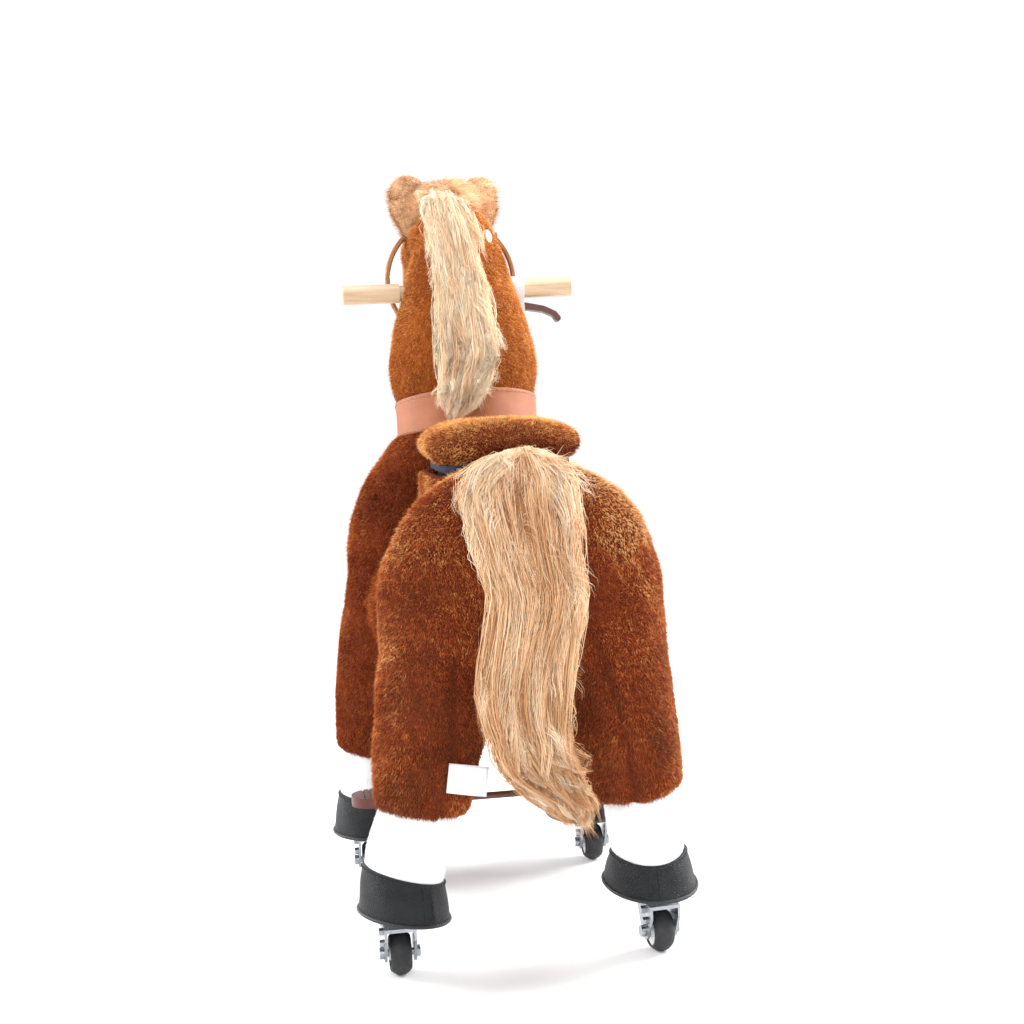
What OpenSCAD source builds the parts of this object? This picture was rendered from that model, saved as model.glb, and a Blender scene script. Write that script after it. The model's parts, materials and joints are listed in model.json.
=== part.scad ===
// Ride-on walking plush pony on four casters.
// A front and a rear leg frame cross like scissors on one axle under the saddle.
// Frame: +Z up, +Y towards the muzzle, +X to the rider's right, floor at z = 0,
// origin on the floor at the middle of the overall length.

/* [Stance] */
// Distance from the front casters' king pins to the rear ones
wheelbase = 400; // [380:10:420]
// Distance from the left casters' king pins to the right ones
track = 296; // [290:2:300]
// Height of the axle that joins both leg frames
axle_z = 500; // [498:1:502]
// Widest distance from the axle to the rear end of the tail
tail_reach = 330; // [325:5:335]
// Distance from the axle to the tip of the muzzle
muzzle_reach = 440; // [435:5:445]

/* [Casters] */
// Diameter of a wheel over its tyre
wheel_d = 50; // [48:1:50]
// Width of a tyre
tyre_w = 24; // [20:1:24]
// Distance that a wheel's axle lies behind its king pin
trail = 12; // [10:1:13]
// Angle at which the rear right fork is bolted on, from straight ahead
rear_right_toe = 7; // [0:1:10]

/* [Legs] */
// Height of a hoof's lower rim
hoof_z = 63; // [62:1:64]
// Height of the plush hem above a front hoof
front_hem_z = 172; // [168:1:176]
// Height of the plush hem above a rear hoof
rear_hem_z = 186; // [180:1:190]
// Diameter of the steel leg tubes
leg_tube_d = 20; // [18:1:22]

/* [Neck] */
// Forward lean of the neck and its steering tube, in degrees
neck_lean = 12; // [11:0.5:13]
// Outer radius of the collar at the foot of the neck
collar_r = 91; // [90:0.5:92]
// Height of the collar
collar_h = 44; // [40:1:46]
// Diameter of a wooden grip
grip_d = 25; // [24:0.5:26]
// Distance from the middle plane to the end of a grip
grip_reach = 150; // [145:1:155]

/* [Saddle] */
// Width of the saddle cushion
saddle_w = 182; // [176:2:184]
// How far the padded saddle sits to the right of the middle plane
saddle_x = 10; // [0:1:12]
// Y of the saddle's rear end, from the axle
saddle_back = -150; // [-150:1:-146]
// Y of the saddle's front end, from the axle
saddle_front = 38; // [34:1:38]
// Height of the cushion's top
saddle_top = 609; // [604:1:612]

/* [Hidden] */
$fn = 48;
blob_fn = 20;
fine_fn = 32;
fit = 0.05;      // radial clearance of a turning fit
gap = 0.4;       // clearance between faces that only pass each other
axle_y = (tail_reach - muzzle_reach) / 2;
half_base = wheelbase / 2;
half_track = track / 2;

// heights in the caster, from the floor up
wheel_r = wheel_d / 2;
crown_z = wheel_r * 2 + 4;
race_z = crown_z + 4;
plate_z = 66;
plate_t = 6;
king_r = 6;
king_top = plate_z + plate_t - 1.4;
wheel_pin_r = 4;
hub_w = tyre_w + 2;
hub_r = 17.5;
cheek_x = hub_w / 2 + 2;
cheek_t = 3;

// saddle stack, from the top down
board_top = 561;
board_t = 7;
frame_plate_t = 5;
frame_plate_z = board_top - board_t - frame_plate_t;
axle_r = 8;
axle_reach = 61;
saddle_cheek_x = 50;
saddle_cheek_t = 4;
front_arm_x = 38;
rear_arm_x = 21;
arm_boss_w = 14;
arm_r = 7;
boss_r = 13;
cushion_mid_y = (saddle_back + saddle_front) / 2;
cushion_len = saddle_front - saddle_back;

// neck
neck_y = 150;
neck_z = 600;
steer_r = 14;
head_tube_r = 21;
bush_r = 18;
head_tube_low = -150;
head_tube_top = -24;
bush_h = 16;
bar_up = 170;    // the grips' height along the neck's lean
sleeve_r = 13;
tenon_r = 10;
grip_start = 66;
brake_clamp_w = 20;
lever_x = 77;    // the brake lever's pivot
lever_drop = 23;
lever_forward = 4;
lever_pin_r = 2.5;
lever_t = 9;
sound_r = 10;
button_r = 6.5;

// cross tube of each leg frame
cross_z = 480;
cross_x = 105;
front_cross_y = neck_y - (neck_z - cross_z) * tan(neck_lean);
rear_cross_y = -185;
leg_foot_z = plate_z + plate_t + 3;
bar_z = 119;     // the foot bar
bar_y = 100;
bar_r = 4.5;
cable_r = 2.5;

// ---------------------------------------------------------------- helpers

// children drawn from the axle's place on the floor
module at_axle() {
    translate([0, axle_y, 0]) children();
}

// children drawn from the foot of the neck, with +Z along its lean
module at_neck() {
    at_axle() translate([0, neck_y, neck_z]) rotate([-neck_lean, 0, 0]) children();
}

module both_sides() {
    children();
    mirror([1, 0, 0]) children();
}

// a round bar from point a to point b
module rod(a, b, r) {
    v = b - a;
    translate(a)
        rotate([0, acos(v.z / norm(v)), atan2(v.y, v.x)])
            cylinder(h = norm(v), r = r);
}

// an ellipsoid: centre c and half sizes r
module blob(c, r, fn = blob_fn) {
    translate(c) scale(r) sphere(r = 1, $fn = fn);
}

// a stuffed form that runs through a list of [centre, half sizes]
module stuffed(list, fn = blob_fn) {
    for (i = [0:len(list) - 2])
        hull() {
            blob(list[i][0], list[i][1], fn);
            blob(list[i + 1][0], list[i + 1][1], fn);
        }
}

// an upright prism with an oval foot of half sizes r0 and an oval top of half sizes r1
module oval_form(c0, r0, c1, r1) {
    hull() {
        translate(c0) linear_extrude(0.1) scale(r0) circle(r = 1, $fn = fine_fn);
        translate(c1) linear_extrude(0.1) scale(r1) circle(r = 1, $fn = fine_fn);
    }
}

// a round tube swept along a path of points, with flat ends; up is never along the path
function unit(v) = v / norm(v);
function along(p, i) = unit(p[min(i + 1, len(p) - 1)] - p[max(i - 1, 0)]);
module swept(path, r, sides, up) {
    n = len(path);
    points = [for (i = [0:n - 1])
        let (t = along(path, i), u = unit(cross(t, up)), w = cross(t, u))
        for (k = [0:sides - 1])
            path[i] + r * (cos(360 * k / sides) * u + sin(360 * k / sides) * w)];
    walls = [for (i = [0:n - 2], k = [0:sides - 1], half = [0, 1])
        let (a = i * sides + k, b = i * sides + (k + 1) % sides)
        half == 0 ? [a, a + sides, b + sides] : [a, b + sides, b]];
    foot = [for (k = [0:sides - 1]) k];
    top = [for (k = [sides - 1:-1:0]) (n - 1) * sides + k];
    polyhedron(points, concat(walls, [foot, top]), convexity = 6);
}

// ---------------------------------------------------------------- saddle

module saddle_frame() {
    color("dimgray") at_axle() difference() {
        union() {
            translate([-58, -120, frame_plate_z])
                cube([116, 156, frame_plate_t]);
            both_sides()
                translate([saddle_cheek_x, -26, axle_z - 16])
                    cube([saddle_cheek_t, 52, frame_plate_z - axle_z + 17]);
            both_sides()
                rod([saddle_cheek_x, 0, axle_z], [axle_reach - 1, 0, axle_z], 14);
        }
        rod([-70, 0, axle_z], [70, 0, axle_z], axle_r + fit);
        saddle_bolt_places() cylinder(h = 40, r = 4 + fit, center = true);
    }
}

module saddle_bolt_places() {
    for (x = [-34, 34], y = [-100, -10])
        translate([x, y, frame_plate_z]) children();
}

module main_axle() {
    color("silver") at_axle() rod([-axle_reach, 0, axle_z], [axle_reach, 0, axle_z], axle_r);
}

// the saddle's outline seen from above, drawn in by inset
module saddle_outline(inset) {
    hull()
        for (x = [-1, 1], y = [-1, 1])
            translate([saddle_x + x * (saddle_w / 2 - 67), cushion_mid_y + y * (cushion_len / 2 - 60)])
                scale([55 - inset, 60 - inset]) circle(r = 1, $fn = 24);
}

module saddle_board() {
    color([0.10, 0.12, 0.17]) at_axle() difference() {
        translate([0, 0, board_top - board_t]) linear_extrude(board_t) saddle_outline(1);
        saddle_bolt_places() cylinder(h = 60, r = 4 + fit, center = true);
    }
}

module saddle_cushion() {
    rise = saddle_top - board_top;
    color([0.47, 0.24, 0.08]) at_axle() intersection() {
        hull()
            for (x = [-1, 1], y = [-1, 1])
                blob([saddle_x + x * (saddle_w / 2 - 50), cushion_mid_y + y * (cushion_len / 2 - 56),
                    board_top + rise * 0.40], [50, 56, rise * 0.60], 24);
        translate([-150, -250, board_top + 0.1]) cube([300, 400, 100]);
    }
}

// plush band under the saddle, open below, with a window each way for the leg frames' arms
module saddle_skirt() {
    low = 470;
    color([0.44, 0.21, 0.07]) at_axle() difference() {
        translate([0, 0, low]) linear_extrude(frame_plate_z - low)
            skirt_outline(saddle_x - 61, saddle_x + 52, 26);
        translate([0, 0, low - 1]) linear_extrude(100) skirt_outline(-60, 60, 6);
        translate([-66, -200, low - 1]) cube([132, 400, 53]);
    }
}

module skirt_outline(x0, x1, r) {
    hull()
        for (x = [x0, x1], y = [-104, 24])
            translate([x, y]) circle(r = r, $fn = 24);
}

module saddle_fasteners() {
    color("silver") at_axle() {
        saddle_bolt_places() {
            translate([0, 0, -5]) cylinder(h = 5, r = 7, $fn = 6);
            cylinder(h = frame_plate_t + board_t, r = 4);
        }
        both_sides() rod([axle_reach, 0, axle_z], [axle_reach + 3.5, 0, axle_z], 12);
    }
}

// one compression coil standing on the z axis, from z0 up to z1
module coil(z0, z1, r, wire_r, turns) {
    steps = 10;
    swept([for (i = [0:turns * steps])
        [r * cos(360 * i / steps), r * sin(360 * i / steps),
            z0 + wire_r + (z1 - z0 - 2 * wire_r) * i / (turns * steps)]], wire_r, 6, [0, 0, 1]);
}

// a pair of coils between the saddle frame and the arms at arm_x, at distance y from the axle
module return_springs(arm_x, cross_y, y, turns) {
    arm_top = axle_z - 1 - (axle_z - cross_z) * y / cross_y + arm_r;
    color("gray") at_axle() both_sides()
        translate([arm_x, y, 0]) coil(arm_top + 1.2, frame_plate_z - 0.3, 8, 1.6, turns);
}

module front_return_springs() {
    return_springs(front_arm_x, front_cross_y, 19, 4);
}

module rear_return_springs() {
    return_springs(rear_arm_x, rear_cross_y, -84, 4);
}

// ---------------------------------------------------------------- leg frames

// one welded leg frame: hub bosses, arms to a cross tube, and two leg tubes
module leg_frame(arm_x, cross_y, foot_y) {
    both_sides() {
        rod([arm_x - arm_boss_w / 2, 0, axle_z], [arm_x + arm_boss_w / 2, 0, axle_z], boss_r);
        rod([arm_x, sign(cross_y) * 10, axle_z - 1], [arm_x, cross_y, cross_z], arm_r);
        rod([cross_x, cross_y, cross_z], [half_track, foot_y, leg_foot_z], leg_tube_d / 2);
    }
    rod([-cross_x - 9, cross_y, cross_z], [cross_x + 9, cross_y, cross_z], leg_tube_d / 2 + 1);
}

module front_leg_frame() {
    color("dimgray") difference() {
        union() {
            at_axle() leg_frame(front_arm_x, front_cross_y, half_base);
            at_neck() translate([0, 0, head_tube_low])
                cylinder(h = head_tube_top - head_tube_low, r = head_tube_r);
        }
        at_neck() translate([0, 0, head_tube_low - 1])
            cylinder(h = head_tube_top - head_tube_low + 2, r = bush_r);
        at_axle() rod([-90, 0, axle_z], [90, 0, axle_z], axle_r + fit);
    }
}

module rear_leg_frame() {
    color("dimgray") at_axle() difference() {
        leg_frame(rear_arm_x, rear_cross_y, -half_base);
        rod([-90, 0, axle_z], [90, 0, axle_z], axle_r + fit);
    }
}

module steering_bushes() {
    color("whitesmoke") at_neck()
        for (z = [head_tube_low, head_tube_top - bush_h])
            translate([0, 0, z]) difference() {
                cylinder(h = bush_h, r = bush_r - 0.02);
                translate([0, 0, -1]) cylinder(h = bush_h + 2, r = steer_r + fit);
            }
}

// plate in the sole of each hoof, with a bore for the king pin and a socket for the leg tube
module hoof_plates(foot_y) {
    at_axle() both_sides() translate([half_track, foot_y, 0]) difference() {
        union() {
            translate([0, 0, plate_z]) cylinder(h = plate_t, r = 34);
            translate([0, 0, plate_z + 1]) cylinder(h = 22, r = leg_tube_d / 2 + 4.5);
        }
        translate([0, 0, leg_foot_z - 0.5]) cylinder(h = 30, r = leg_tube_d / 2);
        translate([0, 0, plate_z - 20]) cylinder(h = king_top + 20.4 - plate_z, r = king_r + fit);
    }
}

module front_hoof_plates() {
    color("silver") hoof_plates(half_base);
}

module rear_hoof_plates() {
    color("silver") hoof_plates(-half_base);
}

// ---------------------------------------------------------------- plush legs and bodies

hoof_in = 5;     // a hoof's middle lies this far inboard of its king pin
front_hoof_top = 113;
rear_hoof_top = 112;
hem_tilt = 8;    // the plush hems rise outwards by this angle

// a leather cup round the foot, with side -1 on the left and 1 on the right
module hoof(side, foot_y, low, top) {
    x = side * (half_track - hoof_in);
    color([0.20, 0.20, 0.22]) at_axle() difference() {
        oval_form([x, foot_y, low], [52, 64, 1], [x, foot_y - 2, top], [43, 53, 1]);
        oval_form([x, foot_y, low - 1], [47, 59, 1], [x, foot_y - 2, top + 1], [38.5, 48.5, 1]);
    }
}

module front_left_hoof() {
    hoof(-1, half_base, hoof_z, front_hoof_top);
}

module front_right_hoof() {
    hoof(1, half_base, hoof_z, front_hoof_top);
}

module rear_left_hoof() {
    hoof(-1, -half_base, hoof_z + 1, rear_hoof_top);
}

module rear_right_hoof() {
    hoof(1, -half_base, hoof_z + 7, rear_hoof_top);
}

// white plush from inside the hoof up to the hem, whose middle is at [x, y, z] = hem
module sock(side, foot_y, top, hem) {
    x = side * (half_track - hoof_in);
    color("white") at_axle() difference() {
        union() {
            oval_form([x, foot_y, 94], [36.5, 46.5, 1], [x, foot_y - 2, top + 1.5], [37.5, 47.5, 1]);
            oval_form([x, foot_y - 2, top + 1.5], [43, 53, 1], [hem.x, hem.y, hem.z + 9], [44, 52, 1]);
        }
        under_hem(side, hem.z - 0.6, hem.x) translate([-200, -500, 0]) cube([400, 1000, 100]);
    }
}

// children drawn in the tilted plane of a hem
module under_hem(side, z, x) {
    translate([x, 0, z]) rotate([0, -side * hem_tilt, 0]) children();
}

// what is cut away below a leg's hem
module hem_cut(side, z, x) {
    under_hem(side, z, x) translate([-140, -420, -300]) cube([280, 840, 300]);
}

module front_socks() {
    for (side = [-1, 1]) sock(side, half_base, front_hoof_top, [side * 129, 191, front_hem_z]);
}

module rear_socks() {
    sock(-1, -half_base, rear_hoof_top, [rear_left_x, -201, rear_hem_z]);
    sock(1, -half_base, rear_hoof_top, [rear_right_x, -201, rear_hem_z]);
}

rear_left_x = -117;    // middles of the rear legs at their hems
rear_right_x = 134;

module front_body() {
    color([0.49, 0.25, 0.09]) difference() {
        union() {
            at_axle() {
                // shoulders and chest
                stuffed([
                    [[-2, 148, 478], [147, 88, 108]],
                    [[-1, 148, 424], [159, 92, 130]],
                    [[0, 150, 350], [160, 90, 80]]], 28);
                // front half of the barrel
                stuffed([
                    [[0, 110, 372], [146, 60, 104]],
                    [[0, 20, 374], [138, 40, 100]]], 28);
                // legs
                both_sides() stuffed([
                    [[96, 150, 400], [64, 82, 60]],
                    [[108, 160, 320], [67, 80, 50]],
                    [[118, 172, 255], [66, 70, 45]],
                    [[127, 186, 200], [56, 62, 30]],
                    [[130, 191, 165], [50, 58, 30]]]);
            }
            at_neck() hull() {
                blob([-3, 0, -62], [119, 93, 36]);
                blob([0, -2, -36], [100, 90, 26]);
            }
        }
        at_axle() {
            translate([-250, -188, 0]) cube([500, 200, 900]);
            translate([-100, -70, 452]) cube([200, 129, 200]);
            for (side = [-1, 1]) hem_cut(side, front_hem_z, side * 129);
        }
        at_neck() {
            translate([0, 0, -collar_h / 2 - 0.5]) cylinder(h = 200, r = 150);
            translate([0, 0, head_tube_low - 28]) cylinder(h = 200, r = head_tube_r + 0.5);
        }
    }
}

module rear_body() {
    color([0.49, 0.25, 0.09]) at_axle() difference() {
        union() {
            // rump
            stuffed([
                [[8, -210, 420], [158, 68, 152]],
                [[8, -204, 345], [154, 68, 80]]], 28);
            // rear half of the barrel
            stuffed([
                [[0, -150, 372], [146, 60, 100]],
                [[0, -20, 374], [138, 40, 100]]], 28);
            // legs
            stuffed([
                [[-84, -206, 400], [64, 66, 60]],
                [[-95, -206, 320], [62, 68, 50]],
                [[-104, -204, 255], [58, 64, 40]],
                [[rear_left_x + 4, -202, 205], [53, 58, 30]],
                [[rear_left_x, -201, 175], [50, 56, 28]]]);
            stuffed([
                [[96, -206, 400], [68, 66, 60]],
                [[106, -206, 320], [66, 68, 50]],
                [[116, -204, 255], [62, 64, 40]],
                [[rear_right_x - 4, -202, 205], [53, 58, 30]],
                [[rear_right_x, -201, 175], [50, 56, 28]]]);
        }
        translate([-250, -12, 0]) cube([500, 200, 900]);
        translate([-100, -141, 444]) cube([200, 200, 200]);
        hem_cut(-1, rear_hem_z, rear_left_x);
        hem_cut(1, rear_hem_z, rear_right_x);
    }
}

// hanging hair, widest near its root, swinging over to the right at its tip
module tail() {
    color([0.80, 0.62, 0.42]) at_axle() stuffed([
        [[0, -266, 556], [34, 16, 16]],
        [[0, -288, 524], [60, 22, 26]],
        [[10, -302, 462], [46, 24, 36]],
        [[4, -306, 390], [42, 23, 40]],
        [[-6, -307, 310], [41, 20, 40]],
        [[14, -304, 240], [34, 16, 32]],
        [[48, -302, 194], [16, 10, 20]]], 14);
}

module care_label() {
    color("white") at_axle()
        translate([-93, -262, 214]) rotate([0, 8, -6]) cube([44, 1.2, 33]);
}

// ---------------------------------------------------------------- feet and brake cable

module foot_bar() {
    color([0.36, 0.16, 0.08]) at_axle() {
        rod([-152, bar_y, bar_z], [152, bar_y, bar_z], bar_r);
        both_sides() rod([126, bar_y, bar_z], [142, half_base - 8, bar_z], bar_r - 1);
    }
}

// oval foot plate, grooved across, clipped over the foot bar
module pedal(side) {
    color([0.45, 0.17, 0.08]) at_axle() translate([side * 132, bar_y, bar_z]) difference() {
        union() {
            translate([-16, -28, 1]) cube([32, 56, 13]);
            for (x = [-16, 16]) translate([x, 0, 1]) cylinder(h = 13, r = 28);
            translate([-14, -8, -8]) cube([28, 16, 12]);
        }
        rod([-60, 0, 0], [60, 0, 0], bar_r + 0.02);
        rod([-side * 6, 0, 0], [side * 22, 140, 0], bar_r + 0.3);
        for (x = [-28:8:28]) translate([x - 1, -40, 12.5]) cube([2, 80, 3]);
    }
}

module left_pedal() {
    pedal(-1);
}

module right_pedal() {
    pedal(1);
}

// the cable's route below the steering tube, down the left leg to the hoof plate
lower_cable_route = [
    [0, 110, 432], [-4, 112, 420], [-14, 118, 408], [-34, 126, 396], [-58, 134, 380],
    [-80, 142, 358], [-94, 150, 330], [-102, 156, 300], [-108, 162, 270],
    [-114, 168, 240], [-119, 174, 210], [-123, 179, 180], [-126, 184, 150],
    [-128, 188, 122], [-129, 190, 98]];

module lower_brake_cable() {
    color([0.08, 0.08, 0.09]) at_axle() swept(lower_cable_route, cable_r, 8, [0, 1, 0]);
}

// the cable's route from the lever bracket into the neck and down the steering tube
upper_cable_route = [
    [65.9, 4, 156], [62, 3.5, 153], [57, 1, 149], [51, -4, 146], [45, -11, 142],
    [39, -18, 136], [33, -22, 126], [28, -22, 112], [25, -18, 96], [22, -13, 78],
    [20.5, -8, 58], [20, -3, 38], [20, 1, 20], [20, 4, 8]];

module upper_brake_cable() {
    color([0.08, 0.08, 0.09]) at_neck() swept(upper_cable_route, cable_r, 8, [0, 1, 0]);
}

// ---------------------------------------------------------------- neck and head

module neck_collar() {
    color([0.76, 0.50, 0.38]) at_neck() rotate_extrude($fn = 96) {
        translate([collar_r - 5, -collar_h / 2 + 2]) square([5, collar_h - 4]);
        for (z = [-1, 1])
            translate([collar_r - 2.5, z * (collar_h / 2 - 2.5)]) circle(r = 2.5, $fn = 24);
    }
}

module steering_tube() {
    color("silver") at_neck() difference() {
        union() {
            translate([0, 0, head_tube_low - 14])
                cylinder(h = bar_up - head_tube_low + 14, r = steer_r);
            rod([-grip_start + 2, 0, bar_up], [grip_start - 2, 0, bar_up], sleeve_r);
        }
        translate([0, 0, head_tube_low - 20])
            cylinder(h = bar_up - head_tube_low + 2, r = steer_r - 2);
        rod([-90, 0, bar_up], [90, 0, bar_up], tenon_r);
    }
}

module steering_retainer() {
    color("gray") at_neck() translate([0, 0, head_tube_low - 10]) difference() {
        cylinder(h = 8, r = 20);
        translate([0, 0, -1]) cylinder(h = 10, r = steer_r);
    }
}

// the whole stuffed neck, round where it turns inside the collar
module neck_form() {
    at_neck() {
        translate([0, 0, -collar_h / 2 + 1.5]) cylinder(h = collar_h + 3, r = 84, $fn = 40);
        hull() {
            translate([0, 0, collar_h / 2 + 2]) cylinder(h = 1, r = 84, $fn = 40);
            blob([0, 0, 66], [93, 92, 46]);
        }
        stuffed([
            [[0, 0, 66], [93, 92, 46]],
            [[0, -1, 112], [86, 86, 46]],
            [[0, -4, 158], [71, 80, 46]],
            [[0, -8, 206], [57, 70, 42]],
            [[0, -10, 240], [46, 56, 34]]]);
    }
}

module head_form() {
    at_axle() {
        // brow down to the nose
        stuffed([
            [[-2, 205, 830], [57, 50, 42]],
            [[-2, 256, 818], [62, 50, 48]],
            [[0, 322, 776], [44, 46, 44]],
            [[0, 372, 738], [40, 42, 42]],
            [[0, 398, 718], [41, 42, 42]]]);
        // jaw
        stuffed([
            [[-2, 240, 772], [62, 56, 56]],
            [[0, 305, 752], [42, 40, 38]],
            [[0, 380, 708], [34, 40, 30]]]);
    }
}

module neck_cover() {
    color([0.66, 0.40, 0.18]) difference() {
        neck_form();
        at_sound() translate([0, 0, -22.5]) cylinder(h = 60, r = sound_r + 0.2);
        at_neck() translate([grip_start, lever_forward - lever_t / 2 - 6, bar_up - lever_drop - 12])
            cube([40, lever_t + 12, 26]);
    }
}

// the head, hollowed where it is sewn over the top of the neck
module head() {
    color([0.66, 0.40, 0.18]) difference() {
        head_form();
        neck_form();
    }
}

// a rounded leaf that stands up and leans outwards
module ear(side, x) {
    color([0.78, 0.60, 0.42]) at_axle()
        translate([x, 218, side < 0 ? 850 : 846]) rotate([-4, side * 13, side * 10]) stuffed([
            [[0, 0, 0], [21, 10, 16]],
            [[0, 0, 30], [29, 10, 22]],
            [[0, 0, 49], [24, 8, 22]]], 16);
}

module left_ear() {
    ear(-1, -45);
}

module right_ear() {
    ear(1, 28);
}

module mane() {
    color([0.82, 0.64, 0.45]) at_neck() stuffed([
        [[-17, -103, 14], [22, 8, 16]],
        [[-8, -103, 52], [30, 9, 30]],
        [[-6, -96, 100], [32, 10, 30]],
        [[-9, -88, 150], [30, 11, 30]],
        [[-14, -80, 200], [28, 12, 30]],
        [[-17, -66, 248], [26, 14, 26]]], 14);
}

module forelock() {
    color([0.78, 0.60, 0.42]) at_axle() stuffed([
        [[-10, 172, 876], [34, 18, 22]],
        [[-8, 206, 887], [40, 22, 24]],
        [[0, 250, 876], [26, 16, 14]],
        [[0, 282, 852], [14, 10, 12]]], 14);
}

// a strap ring of radius r, its flat side w wide
module strap_ring(r, w) {
    rotate_extrude($fn = 64) translate([r, -w / 2]) square([3.5, w]);
}

module bridle() {
    color([0.50, 0.27, 0.13]) at_axle() {
        // throat latch, standing off the neck
        translate([-5, 212, 781]) rotate([78, 0, 0]) strap_ring(81, 12);
        // noseband
        translate([0, 362, 738]) rotate([52, 0, 0]) strap_ring(50, 13);
        // cheek straps
        both_sides() stuffed([
            [[50.5, 355, 741], [2.4, 6, 5]],
            [[57.5, 300, 789], [2.4, 6, 5]],
            [[61, 236, 838], [2.4, 6, 5]]], 10);
    }
}

module bit_rings() {
    color("gold") at_axle() both_sides()
        translate([56.6, 357, 715]) rotate([0, 90, 0]) rotate_extrude()
            translate([11, 0]) circle(r = 2.2, $fn = 16);
}

module eyes() {
    color([0.08, 0.04, 0.02]) at_axle() both_sides()
        translate([48, 284, 828]) sphere(r = 11);
}

// a turned grip: a tenon in the steering tube's sleeve, then the full handle from start
module grip_end(start) {
    rod([20, 0, bar_up], [start, 0, bar_up], tenon_r);
    rod([start, 0, bar_up], [grip_reach - 1.5, 0, bar_up], grip_d / 2);
    translate([grip_reach - 1.5, 0, bar_up]) rotate([0, 90, 0])
        cylinder(h = 1.5, r1 = grip_d / 2, r2 = grip_d / 2 - 1.5);
}

module left_grip() {
    color([0.91, 0.78, 0.58]) at_neck() mirror([1, 0, 0]) grip_end(grip_start + 10);
}

module right_grip() {
    color([0.91, 0.78, 0.58]) at_neck() grip_end(grip_start + brake_clamp_w + 0.5);
}

// white clamp round the right grip's shank, with a fork below it for the lever
module brake_lever_bracket() {
    color("white") at_neck() difference() {
        union() {
            rod([grip_start, 0, bar_up], [grip_start + brake_clamp_w, 0, bar_up], 16);
            translate([grip_start, lever_forward - lever_t / 2 - 4, bar_up - lever_drop - 8])
                cube([brake_clamp_w, lever_t + 8, lever_drop + 8]);
        }
        rod([grip_start - 1, 0, bar_up], [grip_start + brake_clamp_w + 1, 0, bar_up], tenon_r);
        translate([grip_start - 1, lever_forward - lever_t / 2 - gap, bar_up - lever_drop - 9])
            cube([brake_clamp_w + 2, lever_t + 2 * gap, 17]);
        rod([lever_x, -20, bar_up - lever_drop], [lever_x, 30, bar_up - lever_drop], lever_pin_r + 0.01);
    }
}

module brake_lever_pin() {
    y0 = lever_forward - lever_t / 2 - 4.8;
    color("silver") at_neck()
        rod([lever_x, y0, bar_up - lever_drop],
            [lever_x, y0 + lever_t + 9.6, bar_up - lever_drop], lever_pin_r);
}

// the lever's outline, from its pivot out to a knob that turns down
module brake_lever() {
    z = bar_up - lever_drop;
    y = lever_forward + lever_t / 2;
    color([0.33, 0.17, 0.12]) at_neck() difference() {
        translate([lever_x, y, z]) rotate([90, 0, 0]) linear_extrude(lever_t) {
            outline = [[0, 0, 6], [14, -1, 4.5], [34, -5, 4], [48, -12, 3.8], [52, -18, 4.2]];
            for (i = [0:3]) hull()
                for (p = [outline[i], outline[i + 1]])
                    translate([p.x, p.y]) circle(r = p.z, $fn = fine_fn);
        }
        rod([lever_x, -20, z], [lever_x, 30, z], lever_pin_r + fit);
    }
}

// the sound box and its button, aimed out of the neck's right side behind the ear
module at_sound() {
    at_axle() translate([36, 150, 832]) rotate([0, 0, 48]) rotate([84, 0, 0]) children();
}

module sound_unit() {
    color([0.85, 0.30, 0.25]) at_sound() difference() {
        translate([0, 0, -22]) cylinder(h = 24, r = sound_r);
        translate([0, 0, -8]) cylinder(h = 20, r = button_r + gap);
    }
}

module sound_button() {
    color("whitesmoke") at_sound() translate([0, 0, -4]) cylinder(h = 8, r = button_r);
}

// ---------------------------------------------------------------- casters

// children drawn from under one king pin, turned to the fork's own heading
module at_caster(side, foot_y, toe) {
    at_axle() translate([side * half_track, foot_y, 0]) rotate([0, 0, toe]) children();
}

// pressed fork with its king pin, ball race, wheel bolt and the ratchet's two screws
module fork() {
    color("silver") {
        difference() {
            union() {
                translate([0, 0, crown_z]) cylinder(h = 4, r = 21);
                translate([-cheek_x - cheek_t, -trail - 23, crown_z])
                    cube([2 * (cheek_x + cheek_t), 30, 4]);
                translate([0, 0, race_z]) cylinder(h = plate_z - race_z - 0.6, r = 16);
                cylinder_between(race_z, king_top, king_r);
                both_sides() translate([cheek_x, 0, 0]) rotate([90, 0, 90])
                    linear_extrude(cheek_t) fork_cheek();
            }
            rod([-40, -trail, wheel_r], [40, -trail, wheel_r], wheel_pin_r);
        }
        rod([-cheek_x - 4.2, -trail, wheel_r], [cheek_x + 8, -trail, wheel_r], wheel_pin_r);
        rod([-cheek_x - 8, -trail, wheel_r], [-cheek_x - cheek_t, -trail, wheel_r], 6.5);
        translate([cheek_x + cheek_t, -trail, wheel_r]) rotate([0, 90, 0]) cylinder(h = 4.5, r = 7, $fn = 6);
        for (p = [[-trail - 8, 39], [-trail - 3, 51]])
            translate([-cheek_x - cheek_t, p.x, p.y]) rotate([0, -90, 0])
                cylinder(h = 5, r = 4.6, $fn = 6);
    }
}

module cylinder_between(z0, z1, r) {
    translate([0, 0, z0]) cylinder(h = z1 - z0, r = r);
}

// one side of the fork, seen from the side
module fork_cheek() {
    polygon([[-trail - 9, wheel_r - 6], [-trail - 5, wheel_r - 9], [-trail + 5, wheel_r - 9],
        [-trail + 9, wheel_r - 6], [13, crown_z + 4], [-trail - 23, crown_z + 4],
        [-trail - 23, 44]]);
}

module hub() {
    color("white") translate([0, -trail, wheel_r]) rotate([0, 90, 0]) difference() {
        union() {
            cylinder(h = hub_w - 6, r = hub_r, center = true);
            cylinder(h = hub_w, r = 8, center = true);
        }
        cylinder(h = hub_w + 2, r = wheel_pin_r + fit, center = true);
    }
}

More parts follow.
